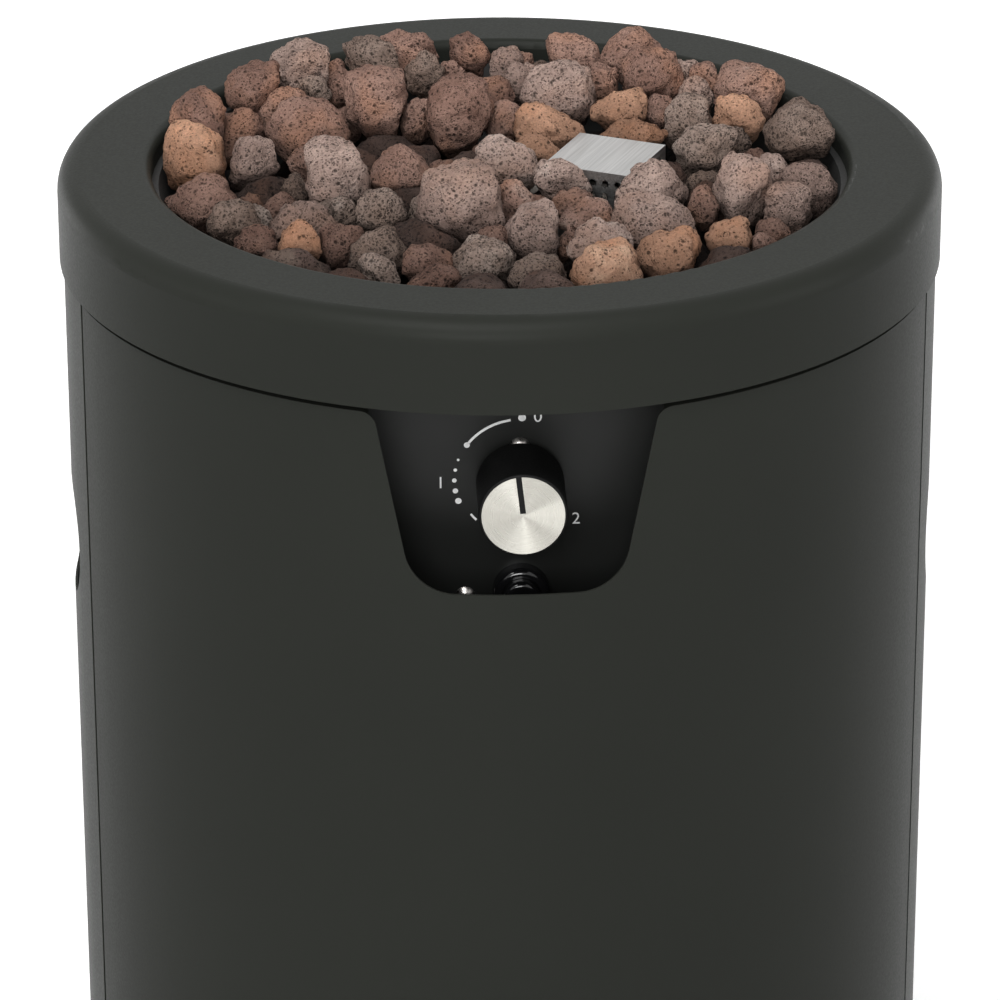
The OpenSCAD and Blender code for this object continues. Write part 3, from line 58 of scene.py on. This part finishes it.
# Studio: a white floor that runs out of the picture, white all round, a broad soft lamp overhead,
# one in front that reaches the control panel, and weaker ones behind and beside the column.
sky_light = 0.15
floor_width = 40.0
paper_tone = 0.85
near_reach = 1.0
far_reach = 2.4
near_glow = 0.5
far_glow = 1.0
under_base = 0.15
clear_of_base = 0.2


def add_node(finish, kind, **settings):
    node = finish.node_tree.nodes.new(kind)
    for key, value in settings.items():
        setattr(node, key, value)
    return node


def join(finish, source, output, target, entry):
    finish.node_tree.links.new(source.outputs[output], target.inputs[entry])


def combine(finish, operation, first, second):
    result = add_node(finish, "ShaderNodeMath", operation=operation)
    join(finish, first, 0, result, 0)
    join(finish, second, 0, result, 1)
    return result


def remap(finish, source, output, start, end, low, high):
    levels = add_node(finish, "ShaderNodeMapRange")
    levels.inputs["From Min"].default_value = start
    levels.inputs["From Max"].default_value = end
    levels.inputs["To Min"].default_value = low
    levels.inputs["To Max"].default_value = high
    join(finish, source, output, levels, "Value")
    return levels


def white_seen(finish):
    path = add_node(finish, "ShaderNodeLightPath")
    seen = add_node(finish, "ShaderNodeMath", operation="MAXIMUM")
    join(finish, path, "Is Camera Ray", seen, 0)
    join(finish, path, "Is Glossy Ray", seen, 1)
    clear = add_node(finish, "ShaderNodeMath", operation="MAXIMUM")
    join(finish, seen, 0, clear, 0)
    join(finish, path, "Is Transmission Ray", clear, 1)
    return clear


world = bpy.data.worlds.new("studio")
bpy.context.scene.world = world
world.use_nodes = True
world.node_tree.nodes.clear()
sky = add_node(world, "ShaderNodeBackground")
sky.inputs["Color"].default_value = (1.0, 1.0, 1.0, 1.0)
sky_level = remap(world, white_seen(world), 0, 0.0, 1.0, sky_light, 1.0)
join(world, sky_level, 0, sky, "Strength")
join(world, sky, 0, add_node(world, "ShaderNodeOutputWorld"), "Surface")

bpy.ops.object.select_all(action="DESELECT")
bpy.ops.mesh.primitive_plane_add(size=floor_width)
floor = bpy.context.object
floor.name = "studio_floor"
floor_paper = bpy.data.materials.new("white_paper")
floor_paper.use_nodes = True
floor_paper.node_tree.nodes.clear()
paper = add_node(floor_paper, "ShaderNodeBsdfDiffuse")
paper.inputs["Color"].default_value = (paper_tone, paper_tone, paper_tone, 1.0)
paper_place = add_node(floor_paper, "ShaderNodeTexCoord")
paper_reach = add_node(floor_paper, "ShaderNodeVectorMath", operation="LENGTH")
join(floor_paper, paper_place, "Object", paper_reach, 0)
paper_lift = remap(floor_paper, paper_reach, "Value", near_reach, far_reach, near_glow, far_glow)
paper_open = remap(floor_paper, paper_reach, "Value", under_base, clear_of_base, 0.0, 1.0)
open_glow = combine(floor_paper, "MULTIPLY", paper_lift, paper_open)
glow_level = combine(floor_paper, "MULTIPLY", white_seen(floor_paper), open_glow)
glow = add_node(floor_paper, "ShaderNodeEmission")
join(floor_paper, glow_level, 0, glow, "Strength")
paper_sum = add_node(floor_paper, "ShaderNodeAddShader")
join(floor_paper, paper, 0, paper_sum, 0)
join(floor_paper, glow, 0, paper_sum, 1)
join(floor_paper, paper_sum, 0, add_node(floor_paper, "ShaderNodeOutputMaterial"), "Surface")
floor.data.materials.append(floor_paper)


def soft_lamp(name, place, aim, size, power):
    lamp_data = bpy.data.lights.new(name, "AREA")
    lamp_data.size = size
    lamp_data.energy = power
    lamp = bpy.data.objects.new(name, lamp_data)
    lamp.location = place
    lamp.visible_camera = False
    away = [place[axis] - aim[axis] for axis in range(3)]
    tilt = math.acos(away[2] / math.dist(place, aim))
    lamp.rotation_euler = (tilt, 0.0, math.atan2(away[0], -away[1]))
    bpy.context.collection.objects.link(lamp)


soft_lamp("overhead_lamp", place=(-0.5, -1.3, 3.4), aim=(0.0, 0.0, 0.7), size=1.8, power=80.0)
soft_lamp("front_lamp", place=(-0.5, -3.6, 1.9), aim=(0.0, 0.0, 0.5), size=1.4, power=70.0)
soft_lamp("back_left_lamp", place=(-2.4, 2.6, 0.6), aim=(0.0, 0.0, 0.35), size=1.2, power=11.0)
soft_lamp("back_right_lamp", place=(2.4, 2.6, 0.6), aim=(0.0, 0.0, 0.35), size=1.2, power=11.0)
soft_lamp("left_lamp", place=(-3.0, -0.6, 1.6), aim=(0.0, 0.0, 0.5), size=1.6, power=14.0)
soft_lamp("right_lamp", place=(3.0, -0.6, 1.6), aim=(0.0, 0.0, 0.5), size=1.6, power=23.0)


# Column sheets: base, rear shell, door, bottle ring and top ring, all rolled or pressed steel with
# the same satin charcoal powder coat, which has a fine orange-peel skin.
noise_low = 0.3
noise_high = 0.7
cloud_scale = 5.0
peel_scale = 850.0
coat_rough_spread = 0.05


def shader_of(finish):
    return finish.node_tree.nodes["Principled BSDF"]


def new_finish(name, colour, metallic, rough, shine):
    finish = bpy.data.materials.new(name)
    finish.use_nodes = True
    shader = shader_of(finish)
    shader.inputs["Base Color"].default_value = (*colour, 1.0)
    shader.inputs["Metallic"].default_value = metallic
    shader.inputs["Roughness"].default_value = rough
    shader.inputs["Specular IOR Level"].default_value = shine
    return finish


def object_place(finish, stretch=(1.0, 1.0, 1.0), centre=(0.0, 0.0, 0.0)):
    coords = add_node(finish, "ShaderNodeTexCoord")
    mapping = add_node(finish, "ShaderNodeMapping")
    mapping.inputs["Location"].default_value = [-centre[axis] * stretch[axis] for axis in range(3)]
    mapping.inputs["Scale"].default_value = stretch
    join(finish, coords, "Object", mapping, "Vector")
    return mapping


def grain(finish, place, scale, detail=2.0):
    noise = add_node(finish, "ShaderNodeTexNoise")
    noise.inputs["Scale"].default_value = scale
    noise.inputs["Detail"].default_value = detail
    join(finish, place, 0, noise, "Vector")
    return noise


def spread_rough(finish, source, output, low, high):
    levels = remap(finish, source, output, noise_low, noise_high, low, high)
    join(finish, levels, 0, shader_of(finish), "Roughness")


def blend(finish, source, output, first, second, start=noise_low, end=noise_high):
    ramp = add_node(finish, "ShaderNodeValToRGB")
    ramp.color_ramp.elements[0].position = start
    ramp.color_ramp.elements[0].color = (*first, 1.0)
    ramp.color_ramp.elements[1].position = end
    ramp.color_ramp.elements[1].color = (*second, 1.0)
    join(finish, source, output, ramp, "Fac")
    return ramp


def colour_by(finish, source, output, dark, light, start=noise_low, end=noise_high):
    tones = blend(finish, source, output, dark, light, start, end)
    join(finish, tones, 0, shader_of(finish), "Base Color")


def relief(finish, source, depth):
    bump = add_node(finish, "ShaderNodeBump")
    bump.inputs["Distance"].default_value = depth
    bump.inputs["Strength"].default_value = 1.0
    join(finish, source, 0, bump, "Height")
    join(finish, bump, "Normal", shader_of(finish), "Normal")


def coated(name, dark, light, rough, shine, peel):
    finish = new_finish(name, dark, metallic=0.0, rough=rough, shine=shine)
    place = object_place(finish)
    colour_by(finish, grain(finish, place, cloud_scale), 0, dark, light)
    skin = grain(finish, place, peel_scale)
    spread_rough(finish, skin, 0, rough - coat_rough_spread, rough + coat_rough_spread)
    relief(finish, skin, peel)
    return finish


def dress(finish, *nodes):
    for node in nodes:
        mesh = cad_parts[node].data
        mesh.materials.clear()
        mesh.materials.append(finish)


charcoal_coat = coated(
    "charcoal_coat", (0.0184, 0.0197, 0.0168), (0.0207, 0.0222, 0.0188),
    rough=0.42, shine=0.05, peel=0.00002,
)
dress(charcoal_coat, "base_pan", "rear_shell", "front_door", "top_ring", "bottle_ring")


# Feet: four moulded rubber feet that are screwed on under the base; the rubber is dull and slightly
# mottled from its mould.
mottle_scale = 60.0
pale_gain = 1.3
pale_lift = 0.002
mould_skin_scale = 1500.0
mould_skin_depth = 0.00001
mould_smoother = 0.04
mould_rougher = 0.06


def moulded(name, colour, rough, shine):
    finish = new_finish(name, colour, metallic=0.0, rough=rough, shine=shine)
    place = object_place(finish)
    pale = [channel * pale_gain + pale_lift for channel in colour]
    colour_by(finish, grain(finish, place, mottle_scale), 0, colour, pale)
    skin = grain(finish, place, mould_skin_scale)
    spread_rough(finish, skin, 0, rough - mould_smoother, rough + mould_rougher)
    relief(finish, skin, mould_skin_depth)
    return finish


dress(moulded("foot_rubber", (0.012, 0.012, 0.012), rough=0.75, shine=0.3), "feet")


# Plated steel: screws, nuts, studs, rods, the hinge's bracket and pins, the strike, the air shutter
# and the valve's push ring, turned or pressed from steel under bright zinc.
streak_detail = 3.0
streak_depth = 0.00001
metal_smoother = 0.06
metal_rougher = 0.08


def bare_metal(name, dark, light, rough, scale=200.0, stretch=(1.0, 1.0, 1.0)):
    finish = new_finish(name, light, metallic=1.0, rough=rough, shine=0.5)
    streaks = grain(finish, object_place(finish, stretch), scale, streak_detail)
    colour_by(finish, streaks, 0, dark, light)
    spread_rough(finish, streaks, 0, rough - metal_smoother, rough + metal_rougher)
    relief(finish, streaks, streak_depth)
    return finish


plated_steel = bare_metal("plated_steel", (0.42, 0.43, 0.44), (0.56, 0.57, 0.58), rough=0.34)
dress(plated_steel, "foot_screws", "shell_screws", "post_screws", "panel_screws")
dress(plated_steel, "ring_studs", "flange_nuts", "shield_rods", "shield_nuts")
dress(plated_steel, "hinge_bracket", "hinge_pins", "strike_plate", "air_shutter", "valve_plunger")


# Hinge bushes, magnet catch and igniter nut: moulded nylon, pale for the bushes that the door's
# pins turn in, and black for the magnet's cup and the nut behind the panel.
dress(moulded("pale_nylon", (0.6, 0.57, 0.5), rough=0.5, shine=0.4), "hinge_bushes")
black_moulding = moulded("black_moulding", (0.006, 0.006, 0.006), rough=0.38, shine=0.5)
dress(black_moulding, "magnet_catch", "igniter_nut")


# Fire bowl and rail: the bowl is a spun steel pan that hangs by its flange on a rolled rail inside
# the top of the shell. Both have black heat-proof paint, a little chalky from the heat.
heat_paint = coated(
    "heat_paint", (0.018, 0.018, 0.0175), (0.03, 0.029, 0.028),
    rough=0.6, shine=0.3, peel=0.00003,
)
dress(heat_paint, "fire_bowl", "top_rail")


# Burner, mixer and gas fittings: a stainless ring of tube on posts, dark from the flames, a cast
# mixer and valve, turned brass fittings, a drawn aluminium gas pipe and a copper lead.
heated_steel = bare_metal(
    "heated_steel", (0.08, 0.07, 0.06), (0.2, 0.18, 0.16), rough=0.45, scale=90.0,
)
dress(heated_steel, "burner_ring", "burner_posts")
cast_alloy = bare_metal(
    "cast_alloy", (0.36, 0.36, 0.365), (0.5, 0.5, 0.505), rough=0.5, scale=700.0,
)
dress(cast_alloy, "gas_valve", "mixer_tube")
drawn_pipe = bare_metal(
    "drawn_pipe", (0.55, 0.56, 0.57), (0.68, 0.69, 0.7),
    rough=0.3, scale=600.0, stretch=(1.0, 0.1, 1.0),
)
dress(drawn_pipe, "feed_pipe")
turned_brass = bare_metal(
    "turned_brass", (0.5, 0.34, 0.11), (0.66, 0.47, 0.18), rough=0.3, scale=300.0,
)
dress(turned_brass, "orifice_fitting", "gland_nut", "outlet_nut", "inlet_fitting", "valve_stem")
drawn_copper = bare_metal(
    "drawn_copper", (0.42, 0.18, 0.1), (0.62, 0.29, 0.17), rough=0.35, scale=300.0,
)
dress(drawn_copper, "thermocouple_lead")


# Heat shield: a round galvanised sheet over the bottle, hung on four rods from the bowl, with the
# spangle of hot-dip zinc.
flake_scale = 110.0
spangle = new_finish("galvanised_sheet", (0.48, 0.49, 0.5), metallic=1.0, rough=0.45, shine=0.5)
flakes = add_node(spangle, "ShaderNodeTexVoronoi")
flakes.inputs["Scale"].default_value = flake_scale
join(spangle, object_place(spangle), 0, flakes, "Vector")
colour_by(spangle, flakes, "Color", dark=(0.4, 0.41, 0.42), light=(0.55, 0.56, 0.57))
spread_rough(spangle, flakes, "Color", low=0.36, high=0.52)
dress(spangle, "heat_shield")


# Control panel: a folded steel plate behind the door's notch, hung by two ears under the rail, in
# black paint that is smoother than the column's coat.
panel_paint = coated(
    "panel_paint", (0.0104, 0.011, 0.0102), (0.0122, 0.0128, 0.0118),
    rough=0.4, shine=0.2, peel=0.00001,
)
dress(panel_paint, "control_panel")


# Dial: white ink printed on the panel round the knob in one thin layer: a dot at the start, an arc
# that ends in a dot, a row of dots that grow, a tick and plain numbers.
panel_front = -0.148
knob_across = 0.003
knob_height = 0.6165
ink_thick = 0.0001
ink_middle = panel_front - ink_thick / 2
ink_wear_scale = 900.0
number_size = 0.0078
dot_sides = 24
arc_step = 3
weld_gap = 0.000001
facing_front = (math.pi / 2, 0.0, 0.0)
growing_dots = ((70.0, 0.0012), (80.0, 0.0016), (90.0, 0.002), (100.0, 0.0024), (110.0, 0.0028))
dial_ink = new_finish("dial_ink", (0.95, 0.95, 0.94), metallic=0.0, rough=0.55, shine=0.3)
ink_wear = grain(dial_ink, object_place(dial_ink), ink_wear_scale)
colour_by(dial_ink, ink_wear, 0, dark=(0.9, 0.9, 0.89), light=(1.0, 1.0, 0.99))
dial_pieces = []


def on_dial(turn, radius):
    angle = math.radians(turn)
    return knob_across - radius * math.sin(angle), knob_height + radius * math.cos(angle)


def keep_mark(piece):
    bpy.ops.object.transform_apply(location=True, rotation=True, scale=True)
    piece.data.materials.clear()
    piece.data.materials.append(dial_ink)
    dial_pieces.append(piece)


def print_dot(turn, radius, size):
    across, height = on_dial(turn, radius)
    bpy.ops.object.select_all(action="DESELECT")
    bpy.ops.mesh.primitive_cylinder_add(
        vertices=dot_sides, radius=size / 2, depth=ink_thick,
        location=(across, ink_middle, height), rotation=facing_front,
    )
    keep_mark(bpy.context.object)


def print_number(figure, turn, radius):
    across, height = on_dial(turn, radius)
    bpy.ops.object.select_all(action="DESELECT")
    bpy.ops.object.text_add(location=(across, ink_middle, height), rotation=facing_front)
    label = bpy.context.object
    label.data.body = figure
    label.data.size = number_size
    label.data.align_x = "CENTER"
    label.data.align_y = "CENTER"
    label.data.extrude = ink_thick / 2
    bpy.ops.object.convert(target="MESH")
    keep_mark(bpy.context.object)


def print_arc(start, end, radius, width):
    across, height = on_dial(start, radius - width / 2)
    far_across, far_height = on_dial(start, radius + width / 2)
    corners = (
        (across, panel_front, height),
        (far_across, panel_front, far_height),
        (across, panel_front - ink_thick, height),
        (far_across, panel_front - ink_thick, far_height),
    )
    bpy.ops.object.select_all(action="DESELECT")
    bpy.ops.mesh.primitive_plane_add(size=width, location=(0.0, 0.0, 0.0))
    piece = bpy.context.object
    for vertex, corner in zip(piece.data.vertices, corners):
        vertex.co = corner
    bpy.ops.object.mode_set(mode="EDIT")
    bpy.ops.mesh.select_all(action="SELECT")
    bpy.ops.mesh.spin(
        steps=max(2, int(abs(end - start) / arc_step)), angle=math.radians(end - start),
        center=(knob_across, panel_front, knob_height), axis=(0.0, 1.0, 0.0),
    )
    bpy.ops.mesh.select_all(action="SELECT")
    bpy.ops.mesh.remove_doubles(threshold=weld_gap)
    bpy.ops.mesh.normals_make_consistent(inside=False)
    bpy.ops.object.mode_set(mode="OBJECT")
    keep_mark(piece)


print_dot(turn=-2.0, radius=0.0292, size=0.0034)
print_number("0", turn=-15.0, radius=0.0305)
print_arc(start=8.0, end=52.0, radius=0.0284, width=0.0011)
print_dot(turn=54.0, radius=0.0284, size=0.0026)
for turn, size in growing_dots:
    print_dot(turn, radius=0.0285, size=size)
print_number("1", turn=92.0, radius=0.0345)
print_arc(start=127.0, end=135.0, radius=0.0268, width=0.001)
print_number("2", turn=232.0, radius=0.0312)
bpy.ops.object.select_all(action="DESELECT")
for piece in dial_pieces:
    piece.select_set(True)
bpy.context.view_layer.objects.active = dial_pieces[0]
bpy.ops.object.join()
dial_marks = bpy.context.object
dial_marks.name = "dial_marks"
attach(dial_marks, "column")


# Valve and earth screws: small domes turned from steel, nickel-plated and polished, screwed in from
# the front of the panel.
polished = bare_metal(
    "polished_nickel", (0.4, 0.38, 0.36), (0.5, 0.48, 0.455), rough=0.3, scale=500.0,
)
dress(polished, "valve_screws", "ground_screw")


# Knob: a black moulded cup on the valve's stem, with a face of spun aluminium whose fine circles
# throw the light in wedges, with soft wedge highlights also painted into its colour; the pointer is
# a bar of the black moulding that comes through the face.
face_front = -0.187
face_streak = 0.85
painted_wedge_scale = 1.7
circle_scale = 2500.0
circle_detail = 3.0
circle_share = 0.2
spun_dark = (0.35, 0.338, 0.305)
spun_light = (0.465, 0.452, 0.41)
dress(moulded("knob_moulding", (0.0025, 0.0025, 0.0025), rough=0.5, shine=0.12), "knob")
spun = new_finish("spun_aluminium", (0.48, 0.465, 0.42), metallic=1.0, rough=0.3, shine=0.5)
shader_of(spun).inputs["Anisotropic"].default_value = face_streak
from_centre = object_place(spun, centre=(knob_across, face_front, knob_height))
in_face = add_node(spun, "ShaderNodeVectorMath", operation="MULTIPLY")
in_face.inputs[1].default_value = (1.0, 0.0, 1.0)
join(spun, from_centre, 0, in_face, 0)
outward = add_node(spun, "ShaderNodeVectorMath", operation="NORMALIZE")
join(spun, in_face, 0, outward, 0)
join(spun, outward, 0, shader_of(spun), "Tangent")
# painted highlight: soft wedges round the centre lighten and darken the face's colour, standing in
# for the light its circles throw; the fine circles added to them are the spun finish itself.
painted_wedge_highlights = grain(spun, outward, painted_wedge_scale, detail=0.0)
reach = add_node(spun, "ShaderNodeVectorMath", operation="LENGTH")
join(spun, from_centre, 0, reach, 0)
circles = add_node(spun, "ShaderNodeTexNoise", noise_dimensions="1D")
circles.inputs["Scale"].default_value = circle_scale
circles.inputs["Detail"].default_value = circle_detail
join(spun, reach, "Value", circles, "W")
circles_and_painted_wedges = add_node(spun, "ShaderNodeMath", operation="MULTIPLY_ADD")
circles_and_painted_wedges.inputs[1].default_value = circle_share
join(spun, circles, 0, circles_and_painted_wedges, 0)
join(spun, painted_wedge_highlights, 0, circles_and_painted_wedges, 2)
colour_by(spun, circles_and_painted_wedges, 0, spun_dark, spun_light, start=0.42, end=0.78)
spread_rough(spun, circles, 0, low=0.25, high=0.36)
dress(spun, "knob_face")


# Igniter: a glossy black moulded barrel through the panel with a push button in its collar, and its
# lead in black silicone.
gloss_black = moulded("gloss_black", (0.005, 0.005, 0.0055), rough=0.12, shine=0.5)
dress(gloss_black, "igniter_body", "igniter_button")
dress(moulded("lead_silicone", (0.02, 0.018, 0.018), rough=0.55, shine=0.4), "igniter_lead")


# Pilot: a ceramic electrode and a sooty thermocouple on a bracket under a folded stainless hood
# with punched sides, brushed along its top.
hood_turn = math.radians(-25)
brush_stretch = (1.0, 0.02, 1.0)
brush_scale = 1250.0
brush_depth = 0.00003
dress(moulded("electrode_ceramic", (0.55, 0.52, 0.46), rough=0.6, shine=0.4), "electrode")
sooted_steel = bare_metal("sooted_steel", (0.05, 0.045, 0.04), (0.12, 0.11, 0.1), rough=0.5)
dress(sooted_steel, "thermocouple")
brushed = new_finish("brushed_stainless", (0.47, 0.467, 0.46), metallic=1.0, rough=0.36, shine=0.5)
hood_coords = add_node(brushed, "ShaderNodeTexCoord")
hood_mapping = add_node(brushed, "ShaderNodeMapping", vector_type="TEXTURE")
hood_mapping.inputs["Rotation"].default_value = (0.0, 0.0, hood_turn)
join(brushed, hood_coords, "Object", hood_mapping, "Vector")
hood_stretch = add_node(brushed, "ShaderNodeVectorMath", operation="MULTIPLY")
hood_stretch.inputs[1].default_value = brush_stretch
join(brushed, hood_mapping, 0, hood_stretch, 0)
scratches = grain(brushed, hood_stretch, brush_scale, streak_detail)
colour_by(brushed, scratches, 0, dark=(0.385, 0.382, 0.376), light=(0.565, 0.561, 0.552))
spread_rough(brushed, scratches, 0, low=0.28, high=0.46)
relief(brushed, scratches, brush_depth)
dress(brushed, "pilot_hood", "pilot_bracket")


# Lava rocks: broken pumice-like stone full of gas pores, heaped in the bowl. Each rock is its
# solid, rounded, made lumpy and pitted, with its own tone of its colour, and painted darker low in
# the heap as shade between the rocks.
no_share = (0.0, 0.0, 0.0)
full_share = (1.0, 1.0, 1.0)
rust_share = (0.7, 0.7, 0.7)
mix_first = 6
mix_second = 7
mix_result = 2
tone_range = 0.5
stone_mottle_scale = 70.0
stone_mottle_detail = 5.0
dust_start = 0.9
rust_scale = 38.0
rust_detail = 4.0
wander_scale = 420.0
pore_bend = 0.0009
fine_scale = 900.0
wide_scale = 360.0
wide_share = 0.65
speckle_scale = 850.0
speckle_detail = 5.0
speckle_rough = 0.75
speckle_height = 1.8
skin_low = 0.8
skin_high = 2.2
pit_shade = 0.2
crest_shade = 1.46
painted_shade_floor_height = 0.69
painted_shade_top_height = 0.718
painted_shade_darkest = 0.17
painted_shade_lightest = 1.3
pit_depth = 0.0015


def pore_field(finish, place, scale, share, inner, outer):
    pores = add_node(finish, "ShaderNodeTexVoronoi")
    pores.inputs["Scale"].default_value = scale
    join(finish, place, 0, pores, "Vector")
    whole = add_node(finish, "ShaderNodeMath", operation="GREATER_THAN")
    whole.inputs[1].default_value = share
    join(finish, pores, "Color", whole, 0)
    open_pores = blend(finish, pores, "Distance", no_share, full_share, inner, outer)
    return combine(finish, "MAXIMUM", open_pores, whole)


def lava_stone(name, dark, light, dusty, rust, pore_share):
    finish = new_finish(name, dark, metallic=0.0, rough=0.92, shine=0.15)
    place = object_place(finish)
    tone = add_node(finish, "ShaderNodeAttribute", attribute_name="tone")
    tone_shift = add_node(finish, "ShaderNodeMath", operation="MULTIPLY_ADD")
    tone_shift.inputs[1].default_value = tone_range
    tone_shift.inputs[2].default_value = -tone_range / 2
    join(finish, tone, "Fac", tone_shift, 0)
    mottle = grain(finish, place, stone_mottle_scale, stone_mottle_detail)
    shift = combine(finish, "ADD", mottle, tone_shift)
    body = blend(finish, shift, 0, dark, light, start=0.25, end=0.75)
    dust = body.color_ramp.elements.new(dust_start)
    dust.color = (*dusty, 1.0)
    rust_noise = grain(finish, place, rust_scale, rust_detail)
    rust_patch = blend(finish, rust_noise, 0, no_share, rust_share, start=0.5, end=0.68)
    stained = add_node(finish, "ShaderNodeMix", data_type="RGBA")
    stained.inputs[mix_second].default_value = (*rust, 1.0)
    join(finish, rust_patch, 0, stained, 0)
    join(finish, body, 0, stained, mix_first)
    wander = grain(finish, place, wander_scale)
    bent = add_node(finish, "ShaderNodeVectorMath", operation="MULTIPLY_ADD")
    bent.inputs[1].default_value = (pore_bend, pore_bend, pore_bend)
    join(finish, wander, "Color", bent, 0)
    join(finish, place, 0, bent, 2)
    fine_pores = pore_field(finish, bent, fine_scale, pore_share, inner=0.1, outer=0.5)
    wide_pores = pore_field(
        finish, bent, wide_scale, pore_share * wide_share, inner=0.18, outer=0.4,
    )
    pitted = combine(finish, "MINIMUM", fine_pores, wide_pores)
    speckle = grain(finish, place, speckle_scale, speckle_detail)
    speckle.inputs["Roughness"].default_value = speckle_rough
    rough_skin = add_node(finish, "ShaderNodeMath", operation="MULTIPLY_ADD")
    rough_skin.inputs[1].default_value = speckle_height
    join(finish, speckle, 0, rough_skin, 0)
    join(finish, pitted, 0, rough_skin, 2)
    # painted shade: the colour follows the same height as the bump, darkened in the pores and low
    # grain as the shade in them, and lightened on the crests.
    shade = remap(finish, rough_skin, 0, skin_low, skin_high, pit_shade, crest_shade)
    # painted shade: the colour darkens towards the bottom of the heap as the shade between the
    # rocks, and is lightened at the top.
    height = add_node(finish, "ShaderNodeSeparateXYZ")
    join(finish, place, 0, height, 0)
    painted_heap_shade = remap(finish, height, "Z", painted_shade_floor_height, painted_shade_top_height, painted_shade_darkest, painted_shade_lightest)
    shade_in_heap = combine(finish, "MULTIPLY", shade, painted_heap_shade)
    stone = add_node(finish, "ShaderNodeVectorMath", operation="SCALE")
    join(finish, stained, mix_result, stone, 0)
    join(finish, shade_in_heap, 0, stone, "Scale")
    join(finish, stone, 0, shader_of(finish), "Base Color")
    relief(finish, rough_skin, pit_depth)
    return finish


brown_stone = lava_stone(
    "brown_lava",
    dark=(0.191, 0.109, 0.084),
    light=(0.368, 0.229, 0.182),
    dusty=(0.495, 0.353, 0.295),
    rust=(0.394, 0.208, 0.137),
    pore_share=0.6,
)
mauve_stone = lava_stone(
    "mauve_lava",
    dark=(0.26, 0.179, 0.15),
    light=(0.457, 0.334, 0.286),
    dusty=(0.597, 0.466, 0.411),
    rust=(0.381, 0.241, 0.185),
    pore_share=0.65,
)
grey_stone = lava_stone(
    "grey_lava",
    dark=(0.165, 0.116, 0.093),
    light=(0.356, 0.269, 0.226),
    dusty=(0.47, 0.381, 0.328),
    rust=(0.279, 0.193, 0.152),
    pore_share=0.8,
)
tan_stone = lava_stone(
    "tan_lava",
    dark=(0.35, 0.193, 0.124),
    light=(0.55, 0.319, 0.213),
    dusty=(0.68, 0.447, 0.315),
    rust=(0.53, 0.259, 0.145),
    pore_share=0.4,
)
# painted shade: the lower rocks get darker copies of the lava colours, standing in for the shade
# between the rocks above them.
shaded_stone = lava_stone(
    "shaded_lava",
    dark=(0.06, 0.039, 0.032),
    light=(0.132, 0.088, 0.074),
    dusty=(0.195, 0.143, 0.117),
    rust=(0.132, 0.07, 0.049),
    pore_share=0.5,
)

merge_gap = 0.00001
tone_step = 12.9898
tone_start = 4.1
tone_turns = 437.585
bowl_floor = 0.64
heap_settle = 0.986


def stone_noise(name, size, depth):
    noise = bpy.data.textures.new(name, "CLOUDS")
    noise.noise_scale = size
    noise.noise_type = "HARD_NOISE"
    noise.noise_depth = depth
    return noise


lump_noise = stone_noise("rock_lumps", size=0.018, depth=2)
knob_noise = stone_noise("rock_knobs", size=0.007, depth=3)


def first_point(rock_of, index):
    while rock_of[index] != index:
        rock_of[index] = rock_of[rock_of[index]]
        index = rock_of[index]
    return index


def tone_each_rock(mesh):
    rock_of = list(range(len(mesh.vertices)))
    for edge in mesh.edges:
        low, high = sorted(first_point(rock_of, end) for end in edge.vertices)
        rock_of[high] = low
    tone = mesh.attributes.new("tone", "FLOAT", "POINT")
    for index in range(len(mesh.vertices)):
        swing = math.sin(first_point(rock_of, index) * tone_step + tone_start)
        tone.data[index].value = math.modf(abs(swing) * tone_turns)[0]


def subdivide(rocks, label, kind, levels):
    step = rocks.modifiers.new(label, "SUBSURF")
    step.subdivision_type = kind
    step.levels = levels
    step.render_levels = levels
    bpy.ops.object.modifier_apply(modifier=label)


def swell(rocks, label, noise, height, middle):
    step = rocks.modifiers.new(label, "DISPLACE")
    step.texture = noise
    step.texture_coords = "LOCAL"
    step.strength = height
    step.mid_level = middle
    bpy.ops.object.modifier_apply(modifier=label)


def heap(node, name, finish, rounding):
    bpy.ops.object.select_all(action="DESELECT")
    rocks = bpy.data.objects.new(name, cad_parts[node].data.copy())
    bpy.context.collection.objects.link(rocks)
    bpy.context.view_layer.objects.active = rocks
    rocks.select_set(True)
    bpy.ops.object.mode_set(mode="EDIT")
    bpy.ops.mesh.select_all(action="SELECT")
    bpy.ops.mesh.remove_doubles(threshold=merge_gap)
    bpy.ops.object.mode_set(mode="OBJECT")
    mesh = rocks.data
    tone_each_rock(mesh)
    subdivide(rocks, "facets", "SIMPLE", levels=1)
    subdivide(rocks, "rounding", "CATMULL_CLARK", levels=rounding)
    swell(rocks, "lumps", lump_noise, height=0.0056, middle=0.38)
    swell(rocks, "knobs", knob_noise, height=0.0024, middle=0.36)
    for vertex in mesh.vertices:
        vertex.co.z = bowl_floor + (vertex.co.z - bowl_floor) * heap_settle
    bpy.ops.object.shade_smooth()
    mesh.materials.clear()
    mesh.materials.append(finish)
    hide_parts(node)
    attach(rocks, "column")


heap("rocks_brown", "brown_rocks", brown_stone, rounding=2)
heap("rocks_mauve", "mauve_rocks", mauve_stone, rounding=2)
heap("rocks_grey", "grey_rocks", grey_stone, rounding=2)
heap("rocks_tan", "tan_rocks", tan_stone, rounding=2)
heap("rocks_lower", "lower_rocks", shaded_stone, rounding=1)
